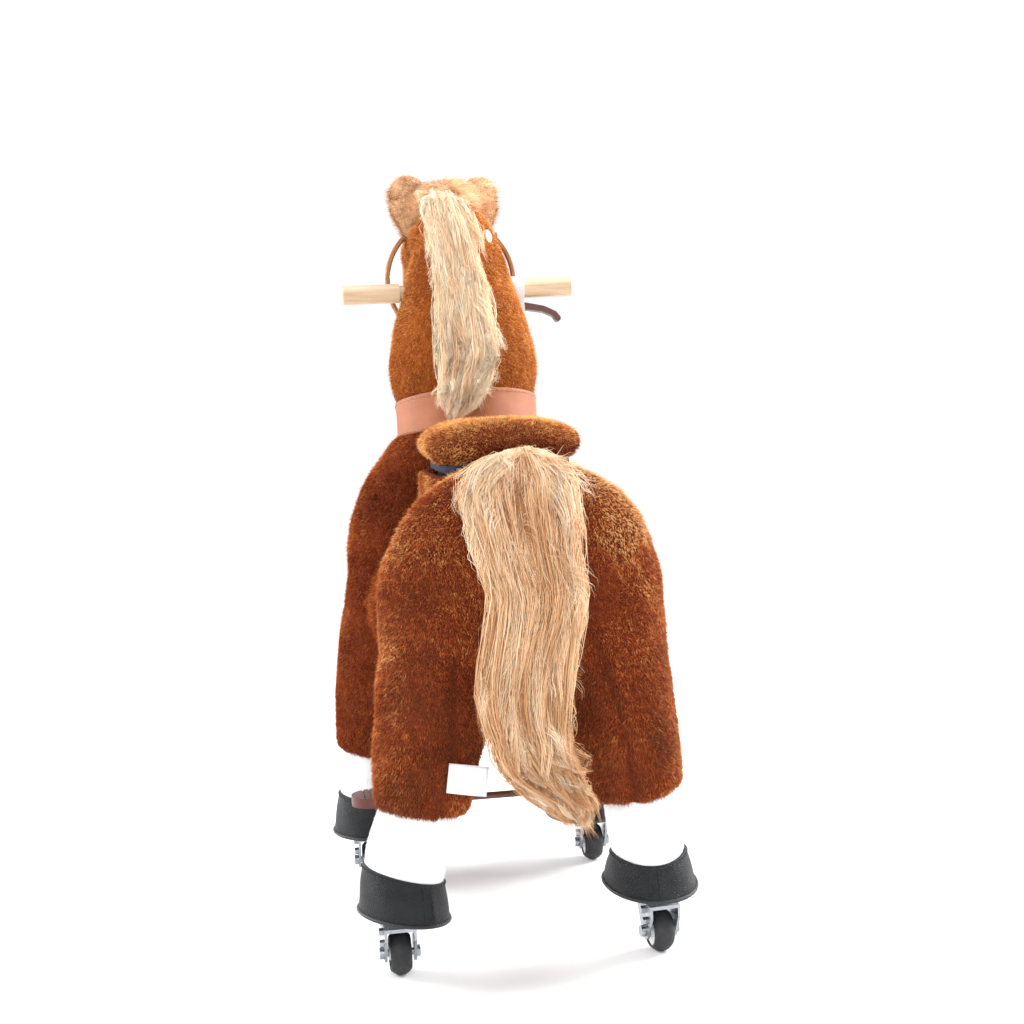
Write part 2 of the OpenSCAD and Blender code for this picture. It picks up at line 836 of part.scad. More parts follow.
module tyre() {
    crown = 15;  // radius of the tread's round crown
    color([0.16, 0.16, 0.17]) translate([0, -trail, wheel_r]) rotate([0, 90, 0])
        rotate_extrude($fn = 96) intersection() {
            translate([wheel_r - crown, 0]) circle(r = crown, $fn = 64);
            translate([hub_r, -tyre_w / 2]) square([20, tyre_w]);
        }
}

module front_left_fork() {
    at_caster(-1, half_base, 0) fork();
}

module front_left_hub() {
    at_caster(-1, half_base, 0) hub();
}

module front_left_tyre() {
    at_caster(-1, half_base, 0) tyre();
}

module front_right_fork() {
    at_caster(1, half_base, 0) fork();
}

module front_right_hub() {
    at_caster(1, half_base, 0) hub();
}

module front_right_tyre() {
    at_caster(1, half_base, 0) tyre();
}

module rear_left_fork() {
    at_caster(-1, -half_base, 0) fork();
}

module rear_left_hub() {
    at_caster(-1, -half_base, 0) hub();
}

module rear_left_tyre() {
    at_caster(-1, -half_base, 0) tyre();
}

module rear_right_fork() {
    at_caster(1, -half_base, rear_right_toe) fork();
}

module rear_right_hub() {
    at_caster(1, -half_base, rear_right_toe) hub();
}

module rear_right_tyre() {
    at_caster(1, -half_base, rear_right_toe) tyre();
}

// ---------------------------------------------------------------- parts

saddle_frame();
main_axle();
saddle_board();
saddle_cushion();
saddle_skirt();
saddle_fasteners();
front_return_springs();
rear_return_springs();
front_leg_frame();
steering_bushes();
front_body();
front_socks();
front_left_hoof();
front_right_hoof();
front_hoof_plates();
neck_collar();
foot_bar();
left_pedal();
right_pedal();
lower_brake_cable();
rear_leg_frame();
rear_body();
rear_socks();
rear_left_hoof();
rear_right_hoof();
rear_hoof_plates();
tail();
care_label();
steering_tube();
steering_retainer();
neck_cover();
head();
left_ear();
right_ear();
mane();
forelock();
bridle();
bit_rings();
eyes();
left_grip();
right_grip();
brake_lever_bracket();
brake_lever_pin();
upper_brake_cable();
sound_unit();
brake_lever();
sound_button();
front_left_fork();
front_left_hub();
front_left_tyre();
front_right_fork();
front_right_hub();
front_right_tyre();
rear_left_fork();
rear_left_hub();
rear_left_tyre();
rear_right_fork();
rear_right_hub();
rear_right_tyre();
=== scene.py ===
"""Looks for the plush ride-on walking pony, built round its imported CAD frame.

Lengths in this script are millimetres, measured from the axle's place on the floor, and
at() or up_neck() turns them into the frame's metres.
"""

import json
import math
from collections import namedtuple

import bmesh
import bpy
import numpy as np
from mathutils import Matrix, Vector


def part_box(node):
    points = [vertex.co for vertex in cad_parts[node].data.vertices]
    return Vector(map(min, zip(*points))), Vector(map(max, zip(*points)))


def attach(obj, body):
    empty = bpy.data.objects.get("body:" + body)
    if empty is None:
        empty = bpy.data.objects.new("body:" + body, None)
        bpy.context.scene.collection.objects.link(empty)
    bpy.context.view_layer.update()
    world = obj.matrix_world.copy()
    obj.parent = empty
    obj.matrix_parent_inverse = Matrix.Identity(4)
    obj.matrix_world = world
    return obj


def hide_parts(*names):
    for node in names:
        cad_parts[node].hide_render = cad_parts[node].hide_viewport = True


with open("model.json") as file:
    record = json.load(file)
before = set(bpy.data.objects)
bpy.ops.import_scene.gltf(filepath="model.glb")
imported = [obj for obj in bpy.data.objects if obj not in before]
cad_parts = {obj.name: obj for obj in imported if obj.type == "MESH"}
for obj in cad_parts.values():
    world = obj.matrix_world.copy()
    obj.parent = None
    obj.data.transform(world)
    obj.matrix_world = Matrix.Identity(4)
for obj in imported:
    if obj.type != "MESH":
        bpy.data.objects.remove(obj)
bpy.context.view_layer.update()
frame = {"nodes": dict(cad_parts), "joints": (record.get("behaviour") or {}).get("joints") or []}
nodes = frame["nodes"]
joints = {j["name"]: j for j in frame["joints"]}

MM = 0.001
AXLE_Y = joints["front_leg_swing"]["pos_m"][1]
NECK_FOOT = Vector(joints["neck_steer"]["pos_m"])
NECK_UP = Vector(joints["neck_steer"]["axis"]).normalized()
NECK_RIGHT = Vector((1, 0, 0))
NECK_FORWARD = NECK_UP.cross(NECK_RIGHT)


def at(x, y, z):
    """A point in millimetres from the axle's place on the floor."""
    return Vector((x * MM, y * MM + AXLE_Y, z * MM))


def up_neck(x, y, z):
    """A point in millimetres from the foot of the neck, with z along its lean."""
    return NECK_FOOT + (NECK_RIGHT * x + NECK_FORWARD * y + NECK_UP * z) * MM


# ------------ materials


# every material, under the name that it was asked for
MAT = {}


class Shader:
    """One Principled material, with short calls for the nodes that feed it."""

    def __init__(self, name, **sockets):
        self.material = MAT[name] = bpy.data.materials.new(name)
        self.material.use_nodes = True
        self.tree = self.material.node_tree
        self.shader = self.tree.nodes["Principled BSDF"]
        for socket, value in sockets.items():
            self.shader.inputs[socket.replace("_", " ")].default_value = value

    def node(self, kind, **settings):
        made = self.tree.nodes.new("ShaderNode" + kind)
        for name, value in settings.items():
            setattr(made, name, value)
        return made

    def link(self, source, target):
        self.tree.links.new(source, target)

    def place(self, stretch=(1, 1, 1)):
        """Object coordinates, stretched."""
        coords = self.node("TexCoord")
        mapping = self.node("Mapping")
        mapping.inputs["Scale"].default_value = stretch
        self.link(coords.outputs["Object"], mapping.inputs["Vector"])
        return mapping.outputs["Vector"]

    def noise(self, scale, detail, rough, stretch=(1, 1, 1), twist=0.0):
        made = self.node("TexNoise")
        settings = {"Scale": scale, "Detail": detail, "Roughness": rough, "Distortion": twist}
        for socket, value in settings.items():
            made.inputs[socket].default_value = value
        self.link(self.place(stretch), made.inputs["Vector"])
        return made.outputs["Fac"]

    def cells(self, scale):
        made = self.node("TexVoronoi", feature="DISTANCE_TO_EDGE")
        made.inputs["Scale"].default_value = scale
        self.link(self.place(), made.inputs["Vector"])
        return made.outputs["Distance"]

    def ramp(self, value, *stops):
        """A colour, or a grey, for each place along value."""
        made = self.node("ValToRGB")
        while len(made.color_ramp.elements) < len(stops):
            made.color_ramp.elements.new(0.5)
        for element, (place, colour) in zip(made.color_ramp.elements, stops):
            element.position = place
            if isinstance(colour, (int, float)):
                colour = (colour,) * 3
            element.color = (*colour, 1.0)
        self.link(value, made.inputs["Fac"])
        return made.outputs["Color"]

    def multiply(self, a, b):
        made = self.node("Mix", data_type="RGBA", blend_type="MULTIPLY")
        factor, first, second = (s for s in made.inputs if s.enabled)
        factor.default_value = 1.0
        self.link(a, first)
        self.link(b, second)
        return next(s for s in made.outputs if s.enabled)

    def colour(self, value):
        self.link(value, self.shader.inputs["Base Color"])

    def roughness(self, value):
        self.link(value, self.shader.inputs["Roughness"])

    def bump(self, height, distance, strength=1.0):
        made = self.node("Bump")
        made.inputs["Distance"].default_value = distance
        made.inputs["Strength"].default_value = strength
        self.link(height, made.inputs["Height"])
        self.link(made.outputs["Normal"], self.shader.inputs["Normal"])


FIBRES = (1, 1, 0.30)
PATCH_MIDDLE = 0.95


def plush(name, deep, mid, tip, sheen, grain=620, patch=0.33):
    """Short pile: fine upright fibres, with broad patches where the pile lies another way."""
    s = Shader(name, Roughness=0.9, Specular_IOR_Level=0.15, Sheen_Weight=sheen, Sheen_Roughness=0.35)
    s.shader.inputs["Sheen Tint"].default_value = (*tip, 1)
    fibres = s.noise(grain, 4, 0.7, FIBRES)
    pile = s.ramp(fibres, (0.30, deep), (0.50, mid), (0.72, tip))
    lie = s.noise(16, 3, 0.6, twist=1.2)
    patches = s.ramp(lie, (0.30, PATCH_MIDDLE - patch), (0.55, PATCH_MIDDLE), (0.75, PATCH_MIDDLE + patch))
    s.colour(s.multiply(pile, patches))
    s.bump(fibres, 0.0016, 0.8)


def hair_shades(name, colours, sheen=0.35, rough=0.6, shine=0.15):
    """Plain materials for single tufts and strands, from their deep colour to their light one."""
    made = []
    for i, colour in enumerate(colours):
        s = Shader(f"{name}_{i + 1}", Roughness=rough, Specular_IOR_Level=shine, Sheen_Weight=sheen)
        s.shader.inputs["Base Color"].default_value = (*colour, 1)
        s.shader.inputs["Sheen Tint"].default_value = (*colours[-1], 1)
        made.append(s.material)
    return made


def leather(name, dark, light, rough, grain, depth, shine=0.5):
    """Pebbled grain, with softer mottling and a rubbed sheen."""
    s = Shader(name, Specular_IOR_Level=shine)
    cells = s.cells(grain)
    mottle = s.noise(30, 4, 0.6)
    s.colour(s.ramp(mottle, (0.30, dark), (0.70, light)))
    s.roughness(s.ramp(mottle, (0.25, rough - 0.08), (0.75, rough + 0.12)))
    pebbles = s.ramp(cells, (0.0, 0.0), (0.18, 0.8), (0.5, 1.0))
    s.bump(pebbles, depth, 0.9)


def zinc_plated(name, colour=(0.40, 0.42, 0.45), rough=0.24):
    """Metal with a clouded plating."""
    s = Shader(name, Metallic=1.0)
    clouds = s.noise(60, 5, 0.65)
    dark = tuple(0.72 * c for c in colour)
    s.colour(s.ramp(clouds, (0.30, dark), (0.65, colour)))
    s.roughness(s.ramp(s.noise(140, 4, 0.7), (0.3, rough - 0.08), (0.75, rough + 0.2)))
    s.bump(s.noise(1500, 2, 0.5, (1, 1, 0.1)), 0.00008)


def painted(name, colour, rough=0.4):
    """Powder coat with its faint orange peel."""
    s = Shader(name, Specular_IOR_Level=0.5)
    dark = tuple(0.75 * c for c in colour)
    s.colour(s.ramp(s.noise(45, 3, 0.5), (0.3, dark), (0.7, colour)))
    peel = s.noise(900, 2, 0.5)
    s.roughness(s.ramp(peel, (0.3, rough - 0.06), (0.7, rough + 0.08)))
    s.bump(peel, 0.00012)


def moulded(name, colour, rough, grain=1600, depth=0.00006, shine=0.5):
    """Moulded plastic: fine texture, slight flow marks."""
    s = Shader(name, Specular_IOR_Level=shine)
    dark = tuple(0.88 * c for c in colour)
    s.colour(s.ramp(s.noise(25, 3, 0.55, twist=0.5), (0.3, dark), (0.7, colour)))
    skin = s.noise(grain, 2, 0.5)
    s.roughness(s.ramp(skin, (0.3, rough - 0.05), (0.7, rough + 0.08)))
    s.bump(skin, depth)


def rubber(name, colour=(0.018, 0.018, 0.020), rough=0.55):
    """Rubber with dust worn into it."""
    s = Shader(name, Specular_IOR_Level=0.4)
    dust = s.ramp(s.noise(90, 5, 0.7), (0.45, colour), (0.85, tuple(2.2 * c for c in colour)))
    s.colour(dust)
    s.roughness(s.ramp(s.noise(260, 3, 0.6), (0.3, rough - 0.08), (0.7, rough + 0.15)))
    s.bump(s.noise(1300, 3, 0.6), 0.00010)


def turned_wood(name):
    """Sanded birch dowel: long grain along X, pores and a thin lacquer."""
    s = Shader(name, Specular_IOR_Level=0.45, Coat_Weight=0.25, Coat_Roughness=0.25)
    grain = s.noise(120, 5, 0.65, (0.06, 1, 1), twist=0.6)
    pores = s.noise(900, 2, 0.5, (0.03, 1, 1))
    rings = s.ramp(grain, (0.28, (0.50, 0.34, 0.19)), (0.50, (0.64, 0.47, 0.30)), (0.72, (0.74, 0.59, 0.41)))
    flecks = s.ramp(pores, (0.28, 0.82), (0.42, 1.0))
    s.colour(s.multiply(rings, flecks))
    s.roughness(s.ramp(grain, (0.3, 0.42), (0.7, 0.55)))
    s.bump(pores, 0.00010)


def woven(name, colour):
    """Satin ribbon weave."""
    s = Shader(name, Roughness=0.6, Sheen_Weight=0.3)
    weave = s.noise(2600, 1, 0.5, (1, 1, 0.35))
    s.colour(s.ramp(weave, (0.3, tuple(0.85 * c for c in colour)), (0.7, colour)))
    s.bump(weave, 0.00015)


BROWN = ((0.060, 0.008, 0.002), (0.130, 0.020, 0.005), (0.240, 0.050, 0.012))
GOLDEN = ((0.150, 0.030, 0.005), (0.290, 0.065, 0.010), (0.460, 0.130, 0.022))
BLOND = ((0.420, 0.220, 0.110), (0.640, 0.390, 0.220), (0.860, 0.620, 0.410))
WHITE = ((0.94, 0.94, 0.95), (0.97, 0.97, 0.97), (0.99, 0.99, 0.99))

plush("brown_plush", *BROWN, sheen=0.35)
plush("golden_plush", *GOLDEN, sheen=0.35)
plush("blond_plush", *BLOND, sheen=0.3, grain=420)
plush("white_plush", *WHITE, sheen=0.2, patch=0.03)
leather("hoof_leather", (0.009, 0.0095, 0.011), (0.020, 0.021, 0.024), 0.50, 330, 0.0006, 0.22)
leather("hoof_piping", (0.006, 0.006, 0.007), (0.014, 0.014, 0.016), 0.38, 700, 0.0002)
leather("collar_leather", (0.335, 0.100, 0.036), (0.430, 0.148, 0.060), 0.45, 600, 0.0003, 0.35)
leather("strap_leather", (0.30, 0.115, 0.035), (0.48, 0.22, 0.085), 0.38, 700, 0.0003)
moulded("dark_thread", (0.012, 0.012, 0.014), 0.6, 2400)
moulded("tan_thread", (0.55, 0.30, 0.17), 0.6, 2400)
moulded("navy_board", (0.020, 0.022, 0.048), 0.62, 700, 0.00015, shine=0.12)
painted("dark_frame", (0.035, 0.035, 0.038))
painted("brown_bar", (0.115, 0.040, 0.022), 0.35)
zinc_plated("zinc")
zinc_plated("steel_rod", (0.50, 0.51, 0.53), 0.22)
zinc_plated("spring_steel", (0.30, 0.31, 0.33), 0.34)
moulded("white_plastic", (0.80, 0.81, 0.82), 0.32)
moulded("bush_plastic", (0.70, 0.69, 0.66), 0.5)
moulded("pedal_plastic", (0.105, 0.022, 0.012), 0.42, 900, 0.0002)
moulded("lever_plastic", (0.120, 0.048, 0.032), 0.34, 1100, 0.0001)
moulded("red_plastic", (0.62, 0.060, 0.040), 0.35)
rubber("cable_black", (0.012, 0.012, 0.013), 0.42)
rubber("tyre_black")
zinc_plated("brass", (0.80, 0.58, 0.25), 0.22)
moulded("glass_eye", (0.012, 0.006, 0.004), 0.06, 300, 0.00002)
turned_wood("birch")
woven("label_satin", (0.86, 0.87, 0.90))


def pile_shades(name, *colours):
    """As hair_shades, with the gloss of short pile."""
    return hair_shades(name, colours, sheen=0.45, shine=0.06)


BROWN_TUFTS = pile_shades(
    "brown_tuft", (0.095, 0.012, 0.003), (0.155, 0.022, 0.006), (0.228, 0.037, 0.009),
    (0.350, 0.074, 0.017), (0.560, 0.170, 0.040),
)
# the golden top shades here carry the painted golden backlight over the top of the rump
RUMP_TUFTS = pile_shades(
    "rump_tuft", (0.110, 0.013, 0.003), (0.160, 0.019, 0.004), (0.220, 0.028, 0.006),
    (0.300, 0.043, 0.009), (0.390, 0.066, 0.014), (0.500, 0.110, 0.026),
    (0.620, 0.185, 0.048), (0.750, 0.310, 0.095), (0.900, 0.500, 0.200),
)
# the palest golden shade here carries the painted golden light on the cushion's left side
SADDLE_TUFTS = pile_shades(
    "saddle_tuft", (0.130, 0.018, 0.005), (0.230, 0.040, 0.010), (0.350, 0.080, 0.018),
    (0.520, 0.160, 0.036), (0.820, 0.420, 0.140),
)
GOLDEN_TUFTS = pile_shades(
    "golden_tuft", (0.240, 0.050, 0.008), (0.330, 0.080, 0.013), (0.440, 0.125, 0.022),
    (0.580, 0.200, 0.042), (0.780, 0.360, 0.110),
)
BLOND_HAIR = hair_shades(
    "blond_hair",
    [
        (0.480, 0.215, 0.090), (0.700, 0.390, 0.190), (0.880, 0.570, 0.330),
        (0.960, 0.720, 0.480), (0.995, 0.850, 0.650),
    ],
    sheen=0.05, rough=0.55, shine=0.08,
)
WHITE_TUFTS = hair_shades("white_tuft", [(0.95, 0.95, 0.96), (0.97, 0.97, 0.98), (0.99, 0.99, 0.99)])

WHEELS = ["front_left", "front_right", "rear_left", "rear_right"]
CAD_LOOKS = {
    "navy_board": ["saddle_board"],
    "dark_frame": ["saddle_frame", "front_leg_frame", "rear_leg_frame"],
    "zinc": [
        "saddle_fasteners", "front_hoof_plates", "rear_hoof_plates", "steering_retainer",
        *(wheel + "_fork" for wheel in WHEELS),
    ],
    "steel_rod": ["main_axle", "steering_tube", "brake_lever_pin"],
    "spring_steel": ["front_return_springs", "rear_return_springs"],
    "bush_plastic": ["steering_bushes"],
    "brown_bar": ["foot_bar"],
    "pedal_plastic": ["left_pedal", "right_pedal"],
    "cable_black": ["lower_brake_cable", "upper_brake_cable"],
    "strap_leather": ["bridle"],
    "brass": ["bit_rings"],
    "glass_eye": ["eyes"],
    "birch": ["left_grip", "right_grip"],
    "white_plastic": ["brake_lever_bracket", "sound_button", *(wheel + "_hub" for wheel in WHEELS)],
    "lever_plastic": ["brake_lever"],
    "red_plastic": ["sound_unit"],
    "tyre_black": [wheel + "_tyre" for wheel in WHEELS],
}
for look, names in CAD_LOOKS.items():
    for name in names:
        nodes[name].data.materials.clear()
        nodes[name].data.materials.append(MAT[look])

# ------------ mesh helpers


def in_scene(name, data):
    """A new object in the scene."""
    made = bpy.data.objects.new(name, data)
    bpy.context.scene.collection.objects.link(made)
    return made


def around(count, more=0):
    """Angles in even steps round a circle, and as many steps past it as more says."""
    return [2 * math.pi * k / count for k in range(count + more)]


def object_from(name, points, faces, materials, smooth=True):
    """A new mesh object. faces is a list of lists of point numbers."""
    mesh = bpy.data.meshes.new(name)
    mesh.from_pydata([tuple(p) for p in points], [], [tuple(int(i) for i in f) for f in faces])
    mesh.update()
    for material in materials:
        mesh.materials.append(material)
    mesh.polygons.foreach_set("use_smooth", np.full(len(mesh.polygons), smooth))
    return in_scene(name, mesh)


def big_mesh(name, points, triangles, materials, face_slots):
    """As object_from, for very many triangles."""
    mesh = bpy.data.meshes.new(name)
    mesh.vertices.add(len(points))
    mesh.vertices.foreach_set("co", np.asarray(points, np.float32).ravel())
    mesh.loops.add(triangles.size)
    mesh.loops.foreach_set("vertex_index", np.asarray(triangles, np.int32).ravel())
    mesh.polygons.add(len(triangles))
    mesh.polygons.foreach_set("loop_start", np.arange(0, triangles.size, 3, dtype=np.int32))
    for material in materials:
        mesh.materials.append(material)
    mesh.polygons.foreach_set("material_index", np.asarray(face_slots, np.int32))
    mesh.polygons.foreach_set("use_smooth", np.ones(len(triangles), bool))
    mesh.update(calc_edges=True)
    return in_scene(name, mesh)


def apply_modifiers(piece):
    """Puts the modified mesh in the place of the plain one."""
    graph = bpy.context.evaluated_depsgraph_get()
    mesh = bpy.data.meshes.new_from_object(piece.evaluated_get(graph))
    piece.modifiers.clear()
    piece.data = mesh
    mesh.polygons.foreach_set("use_smooth", np.ones(len(mesh.polygons), bool))


def points_of(piece):
    """A piece's points, as an array (point, xyz) in metres."""
    co = np.empty(len(piece.data.vertices) * 3)
    piece.data.vertices.foreach_get("co", co)
    return co.reshape(-1, 3)


def set_points(piece, points):
    """Moves a piece's points."""
    piece.data.vertices.foreach_set("co", np.asarray(points, np.float32).ravel())
    piece.data.update()


def normals_of(piece):
    out = np.empty(len(piece.data.vertices) * 3, np.float32)
    piece.data.vertex_normals.foreach_get("vector", out)
    return out.reshape(-1, 3).astype(float)


def from_node(name, node, material, voxel, rounds):
    """A smooth even skin over a plain CAD soft solid."""
    mesh = nodes[node].data.copy()
    mesh.materials.clear()
    mesh.materials.append(material)
    piece = in_scene(name, mesh)
    remesh = piece.modifiers.new("remesh", "REMESH")
    remesh.mode = "VOXEL"
    remesh.voxel_size = voxel * MM
    smooth = piece.modifiers.new("smooth", "SMOOTH")
    smooth.factor, smooth.iterations = 0.5, rounds
    apply_modifiers(piece)
    return piece


def lumps(points, size, seed, octaves):
    """Smooth noise from -1 to 1 at each point, from seeded waves about size millimetres long."""
    rng = np.random.default_rng(seed)
    total, share = np.zeros(len(points)), 0.0
    for octave in range(octaves):
        wave = rng.normal(size=(10, 3))
        wave *= (2 * math.pi / (size * MM / 2**octave)) / np.linalg.norm(wave, axis=1, keepdims=True)
        phase = rng.uniform(0, 2 * math.pi, 10)
        total += 0.55**octave * np.sin(points @ wave.T + phase).sum(1) / 3.2
        share += 0.55**octave
    return np.clip(total / share, -1.5, 1.5)


def push_out(piece, reach):
    """Moves the surface along its normals, by reach in millimetres for each point."""
    set_points(piece, points_of(piece) + normals_of(piece) * (reach * MM)[:, None])


def dent(piece, size, depth, seed):
    """Moves the surface in and out by gentle lumps."""
    push_out(piece, lumps(points_of(piece), size, seed, 2) * depth)


def unit(v):
    """Vectors at length one."""
    return v / np.maximum(np.linalg.norm(v, axis=-1, keepdims=True), 1e-9)


# ------------ fur and hair


def in_parts(name, points, triangles, shades, face_slots, body, slot, per_part):
    """Many small closed solids as a few pieces of at most per_part solids each.

    points is an array (solid, point, xyz), triangles one solid's faces and face_slots one
    shade for each solid.
    """
    for first in range(0, len(points), per_part):
        some = points[first : first + per_part]
        faces = (np.arange(len(some))[:, None, None] * points.shape[1] + triangles).reshape(-1, 3)
        slots = np.repeat(face_slots[first : first + per_part], len(triangles))
        label = f"{name}_{first // per_part + 1}" if first else name
        piece = big_mesh(label, some.reshape(-1, 3), faces, shades, slots)
        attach(piece, body)


def scatter(piece, spacing, rng):
    """Random points on a piece, about spacing millimetres apart, with their normals."""
    mesh = piece.data
    mesh.calc_loop_triangles()
    tri = np.empty(len(mesh.loop_triangles) * 3, np.int32)
    mesh.loop_triangles.foreach_get("vertices", tri)
    tri = tri.reshape(-1, 3)
    co, normal = points_of(piece), normals_of(piece)
    a, b, c = (co[tri[:, i]] for i in range(3))
    area = np.linalg.norm(np.cross(b - a, c - a), axis=1) / 2
    count = int(area.sum() / (spacing * MM) ** 2)
    pick = rng.choice(len(tri), count, p=area / area.sum())
    u, v = rng.random(count), rng.random(count)
    fold = u + v > 1
    u[fold], v[fold] = 1 - u[fold], 1 - v[fold]
    share = np.stack([1 - u - v, u, v], 1)[:, :, None]
    corner = tri[pick]
    return (co[corner] * share).sum(1), unit((normal[corner] * share).sum(1))


def fur(
    name, piece, body, slot, shades, spacing, length, width, comb, seed,
    lift=0.45, keep=None, ragged=0.3, light=0.42,
):
    """Short tufts over a piece: closed spikes that lean from the normal towards comb, in several shades."""
    rng = np.random.default_rng(seed)
    root, normal = scatter(piece, spacing, rng)
    if keep is not None:
        chosen = keep(root, normal)
        root, normal = root[chosen], normal[chosen]
    n = len(root)
    comb = comb(root) if callable(comb) else np.broadcast_to(np.array(comb, float), root.shape)
    swirl = np.stack([lumps(root, 70, seed + k, 2) for k in range(1, 4)], 1)
    flow = comb + 0.38 * swirl
    flow = unit(flow - normal * (flow * normal).sum(1, keepdims=True))
    lean = unit(normal * lift + flow * (1 - lift) + rng.normal(scale=ragged * 0.5, size=(n, 3)))
    reach = length * MM * rng.uniform(0.6, 1.15, n) * (1 + 0.18 * lumps(root, 25, seed + 7, 1))
    across = unit(np.cross(lean, normal + rng.normal(scale=0.2, size=(n, 3))))
    over = np.cross(lean, across)
    thick = width * MM * rng.uniform(0.7, 1.2, n)[:, None] / 2
    base = root - normal * 0.6 * MM
    rim = [base + thick * (across * math.cos(t) + over * math.sin(t)) for t in (0, 2.094, 4.189)]
    tip = base + lean * reach[:, None]
    spike = np.array([[0, 2, 1], [0, 1, 3], [1, 2, 3], [2, 0, 3]])
    tone = light(root, normal) if callable(light) else light
    tone = tone + 0.20 * lumps(root, 12, seed + 11, 2) + 0.20 * lumps(root, 90, seed + 12, 2)
    # painted light: tufts that face upwards take lighter shades, as if lit from above
    tone += 0.30 * np.clip(normal[:, 2], -0.2, 1) + rng.normal(scale=0.09, size=n)
    shade = (np.clip(tone, 0, 0.999) * len(shades)).astype(int)
    in_parts(name, np.stack([*rim, tip], 1), spike, shades, shade, body, slot, 49000)


def strands(name, paths, width, shades, tones, body, slot):
    """Hair: one tapered closed tube along each path. paths is an array (strand, point, xyz) in metres."""
    count, steps, _ = paths.shape
    sides = 3
    along = unit(np.gradient(paths, axis=1))
    ref = np.array([0.31, 0.22, 0.92])
    across = unit(np.cross(along, ref))
    over = np.cross(along, across)
    taper = np.sin(np.linspace(0.5, math.pi, steps)) ** 0.6
    taper[-1] = 0.05
    size = (np.asarray(width) * MM / 2)[:, None, None] * taper[None, :, None]
    rings = [paths + size * (across * math.cos(a) + over * math.sin(a)) for a in around(sides)]
    points = np.stack(rings, 2).reshape(-1, 3)
    quads = []
    for j in range(steps - 1):
        for k in range(sides):
            a, b = j * sides + k, j * sides + (k + 1) % sides
            quads += [[a, b, b + sides], [a, b + sides, a + sides]]
    quads += [[0, 2, 1], [(steps - 1) * sides + k for k in (0, 1, 2)]]
    one = np.array(quads)
    shade = (np.clip(tones, 0, 0.999) * len(shades)).astype(int)
    solids = points.reshape(count, steps * sides, 3)
    in_parts(name, solids, one, shades, shade, body, slot, 195000 // len(one))


def smooth_line(keys, t):
    """Catmull-Rom values through keys, an array (key, ...), at each t from 0 to 1."""
    keys = np.asarray(keys, float)
    place = np.clip(t, 0, 1) * (len(keys) - 1)
    i = np.minimum(place.astype(int), len(keys) - 2)
    f = (place - i)[..., None]
    p0, p1 = keys[np.maximum(i - 1, 0)], keys[i]
    p2, p3 = keys[i + 1], keys[np.minimum(i + 2, len(keys) - 1)]
    line = 2 * p1 + (p2 - p0) * f
    return 0.5 * (line + (2 * p0 - 5 * p1 + 4 * p2 - p3) * f**2 + (3 * p1 - p0 - 3 * p2 + p3) * f**3)


def loft(name, rings, materials, cap=True):
    """A skin through rings, each a list of the same number of points."""
    rings = [[Vector(p) for p in ring] for ring in rings]
    n = len(rings[0])
    faces = []
    for j in range(len(rings) - 1):
        for k in range(n):
            a, b = j * n + k, j * n + (k + 1) % n
            faces.append((a, b, b + n, a + n))
    if cap:
        faces.append(tuple(range(n - 1, -1, -1)))
        faces.append(tuple((len(rings) - 1) * n + k for k in range(n)))
    return object_from(name, [p for ring in rings for p in ring], faces, materials)


def cord_mesh(path, radius, sides, closed=False):
    """Points and faces of a tube along a path of vectors."""
    path = [Vector(p) for p in path]
    n = len(path)
    points, faces = [], []
    up = Vector((0.13, 0.21, 0.97))
    for i, p in enumerate(path):
        before = path[i - 1] if i or closed else p
        after = path[(i + 1) % n] if i < n - 1 or closed else p
        along = (after - before).normalized()
        across = along.cross(up).normalized()
        over = along.cross(across)
        for angle in around(sides):
            points.append(p + radius * (across * math.cos(angle) + over * math.sin(angle)))
    for i in range(n if closed else n - 1):
        for k in range(sides):
            a, b = i * sides + k, i * sides + (k + 1) % sides
            c, d = ((i + 1) % n) * sides + k, ((i + 1) % n) * sides + (k + 1) % sides
            faces.append((a, b, d, c))
    if not closed:
        faces.append(tuple(range(sides - 1, -1, -1)))
        faces.append(tuple((n - 1) * sides + k for k in range(sides)))
    return points, faces


def joined(name, parts, materials):
    """One object from several (points, faces) pairs."""
    points, faces = [], []
    for some_points, some_faces in parts:
        base = len(points)
        points += list(some_points)
        faces += [tuple(i + base for i in f) for f in some_faces]
    return object_from(name, points, faces, materials)


def stitches(name, seams, body, slot, material, length, gap, radius):
    """Rows of thread along seams. Each seam is a list of (point, outward normal)."""
    parts = []
    for seam in seams:
        start, since = None, 0.0
        for (p, normal), (q, _) in zip(seam, seam[1:]):
            since += (q - p).length / MM
            if start is None and since >= gap:
                start, since = p + normal * radius * MM * 0.6, 0.0
            elif start is not None and since >= length:
                end = q + normal * radius * MM * 0.6
                middle = (start + end) / 2 + normal * radius * MM * 0.8
                path = [start - normal * MM, start, middle, end, end - normal * MM]
                parts.append(cord_mesh(path, radius * MM, 6))
                start, since = None, 0.0
    dress(joined(name, parts, [material]), body, slot)


def dress(piece, body, slot, *replaced):
    """Says what a piece rides on and stands for; slot, the finish it would take, is not used."""
    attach(piece, body)
    if replaced:
        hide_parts(*replaced)


# ------------ plush bodies


FLOW_DOWN = (0.0, -0.25, -1.0)
# the seams down the backs of the rear legs, as pairs of a height and the seam's x there
REAR_SEAMS = [
    ((360, -79), (300, -83), (240, -86), (205, -98)),
    ((365, 82), (310, 96), (258, 109), (192, 119)),
]


def seam_distance(points, normals):
    """How far a point on the rump lies from a seam, in millimetres, and far where there is none."""
    x, z = points[:, 0] / MM, points[:, 2] / MM
    far = np.full(len(points), 99.0)
    for seam in REAR_SEAMS:
        heights, places = zip(*reversed(seam))
        off = np.abs(x - np.interp(z, heights, places)) + np.maximum(z - heights[-1], 0)
        far = np.where(normals[:, 1] < -0.15, np.minimum(far, off), far)
    return far


